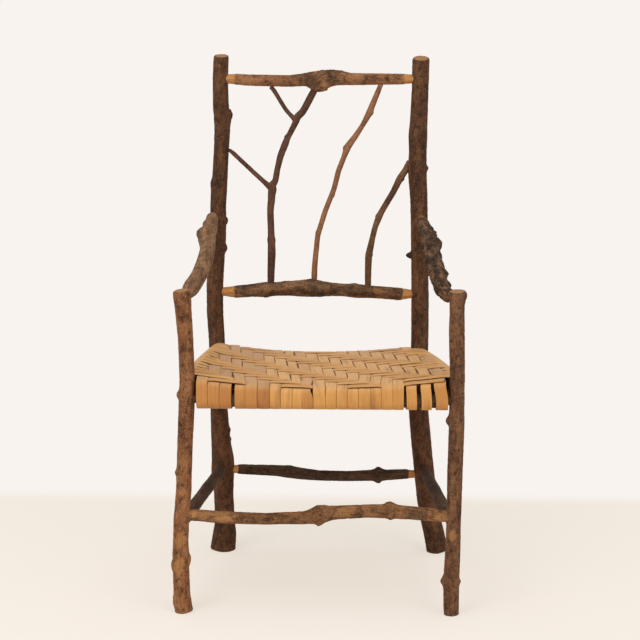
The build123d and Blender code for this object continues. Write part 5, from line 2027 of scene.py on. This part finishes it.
    def arms_and_stretchers(self) -> list[Branch]:
        """The two arms, and the front and back stretchers."""
        over, back = Run.SIDEWAYS, Run.BACKWARD
        return [
            Branch(
                "arm_left", back, self.GREY, "grey_arm_bark", 10.0, self.ARM_LEFT_MARKS,
                ends=Ends.BARK, furrows=0.35 * MM,
            ),
            Branch(
                "arm_right", back, self.BLACK, "black_arm_bark", 11.0, self.ARM_RIGHT_MARKS,
                ends=Ends.BARK, lobes=0.25, rough=3.2 * MM, furrows=1.4 * MM, furrow_width=11 * MM,
            ),
            Branch(
                "front_stretcher", over, self.STRETCHER, "stretcher_bark", 12.0, self.STRETCHER_MARKS,
                ends=Ends.HIDDEN,
            ),
            Branch(
                "back_stretcher", over, self.DEEP, "dark_stretcher_bark", 13.0,
                self.BACK_STRETCHER_MARKS, tracer=Tracer(overcut=-6 * MM),
            ),
        ]

    def unmarked(self) -> list[Branch]:
        """The side stretchers, and the rails inside the woven seat."""
        stretcher = (self.DEEP, "dark_stretcher_bark", Ends.HIDDEN)
        rail = (self.SEAT, "seat_rail_bark", Ends.BARK)
        rows = (
            ("side_stretcher_left", Run.BACKWARD, stretcher),
            ("side_stretcher_right", Run.BACKWARD, stretcher),
            ("front_seat_rail", Run.SIDEWAYS, rail),
            ("back_seat_rail", Run.SIDEWAYS, rail),
            ("side_seat_rail_left", Run.BACKWARD, rail),
            ("side_seat_rail_right", Run.BACKWARD, rail),
        )
        return [
            Branch(node, run, finish, slot, float(seed), ends=ends)
            for seed, (node, run, (finish, slot, ends)) in enumerate(rows, self.FIRST_UNMARKED_SEED)
        ]

    def build(self) -> None:
        """Make every branch."""
        tree = BarkTree().built()
        for one in self.branches():
            one.build(tree)


class NailTree(TreeKit):
    """The tree that sets a square-cut nail with a hand-struck head, looking backwards, at each point."""

    NAME = "Nail"
    INPUTS = {
        "Head": ("Float", 3.4 * MM),
        "Head Height": ("Float", 1.2 * MM),
        "Shank": ("Float", 1.6 * MM),
        "Shank Length": ("Float", 22 * MM),
        "Seed": ("Int", 5),
        "Material": ("Material", None),
    }
    CORNERS = 4
    STRUCK_TOP = 0.4
    SPIKE_POINT = 0.5
    SPIN = (0.5, 1.1)

    def part(self, bottom: Any, top: Any, depth: Any, start: Any) -> Any:
        """Make one square part of the nail.

        Args:
            bottom: Half its width from corner to corner, at its lower end.
            top: The same at its upper end.
            depth: Its length.
            start: Its lower end's height above the underside of the head.

        Returns:
            The output that holds its geometry.
        """
        feeds = {"Vertices": self.CORNERS, "Radius Bottom": bottom, "Radius Top": top, "Depth": depth}
        solid = self.add("GeometryNodeMeshCone", feeds).outputs["Mesh"]
        feeds = {"Geometry": solid, "Translation": self.join(0.0, 0.0, start)}
        return self.add("GeometryNodeTransform", feeds).outputs[0]

    def built(self) -> bpy.types.NodeTree:
        """Wire the steps in order, and return the tree."""
        head, shank, length = (self.given(name) for name in ("Head", "Shank", "Shank Length"))
        half = self.product(self.given("Head Height"), 0.5)
        parts = (
            self.part(head, head, half, 0.0),
            self.part(head, self.product(head, self.STRUCK_TOP), half, half),
            self.part(
                self.product(shank, self.SPIKE_POINT), shank, length,
                self.product(length, -1.0),
            ),
        )
        nail = self.add("GeometryNodeJoinGeometry")
        for part in reversed(parts):
            self.feed(nail.inputs[0], part)
        feeds = {2: self.SPIN[0], 3: self.SPIN[1], "Seed": self.given("Seed")}
        spin = self.add("FunctionNodeRandomValue", feeds, data_type="FLOAT").outputs[1]
        backwards = self.join(-math.pi / 2, spin, 0.0)
        points = self.add("GeometryNodeMeshToPoints", {0: self.given("Geometry")}).outputs[0]
        feeds = {"Points": points, "Instance": nail.outputs[0], "Rotation": backwards}
        return self.finish(self.add("GeometryNodeInstanceOnPoints", feeds).outputs[0])


@dataclass
class Nails:
    """The nails that pin the level rails from behind the back posts."""

    node: str = "joint_nails"
    apart: float = 40 * MM
    head: float = 1.3 * MM

    def seats(self) -> list[np.ndarray]:
        """The middle of the underside of each nail's head."""
        corners = mesh_triangles(self.node).reshape(-1, 3)
        found = []
        for side in (corners[:, 0] < 0, corners[:, 0] > 0):
            column = corners[side]
            column = column[np.argsort(column[:, 2])]
            breaks = np.nonzero(np.diff(column[:, 2]) > self.apart)[0] + 1
            for nail in np.split(column, breaks):
                low, high = nail.min(axis=0), nail.max(axis=0)
                middle = (low + high) / 2
                found.append(np.array([middle[0], high[1] - self.head, middle[2]]))
        return found

    def build(self) -> None:
        """Make the nails as one piece in their node's place."""
        mesh = bpy.data.meshes.new("nail_places")
        mesh.from_pydata([tuple(p) for p in self.seats()], [], [])
        guide = new_object("nail_places", mesh)
        inputs = {"Material": Iron("nail_iron").material()}
        piece = grow("joint_nails_forged", guide, NailTree().built(), inputs)
        piece.data.shade_flat()
        settle(piece, self.node, "nail_iron")


def main() -> None:
    """Build the studio, the frame and the seat in order."""
    logging.basicConfig(level=logging.INFO, format="%(name)s: %(message)s")
    Studio().build()
    log.info("studio ready")
    Frame().build()
    Weave().build()
    Nails().build()


if __name__ == "__main__":
    main()
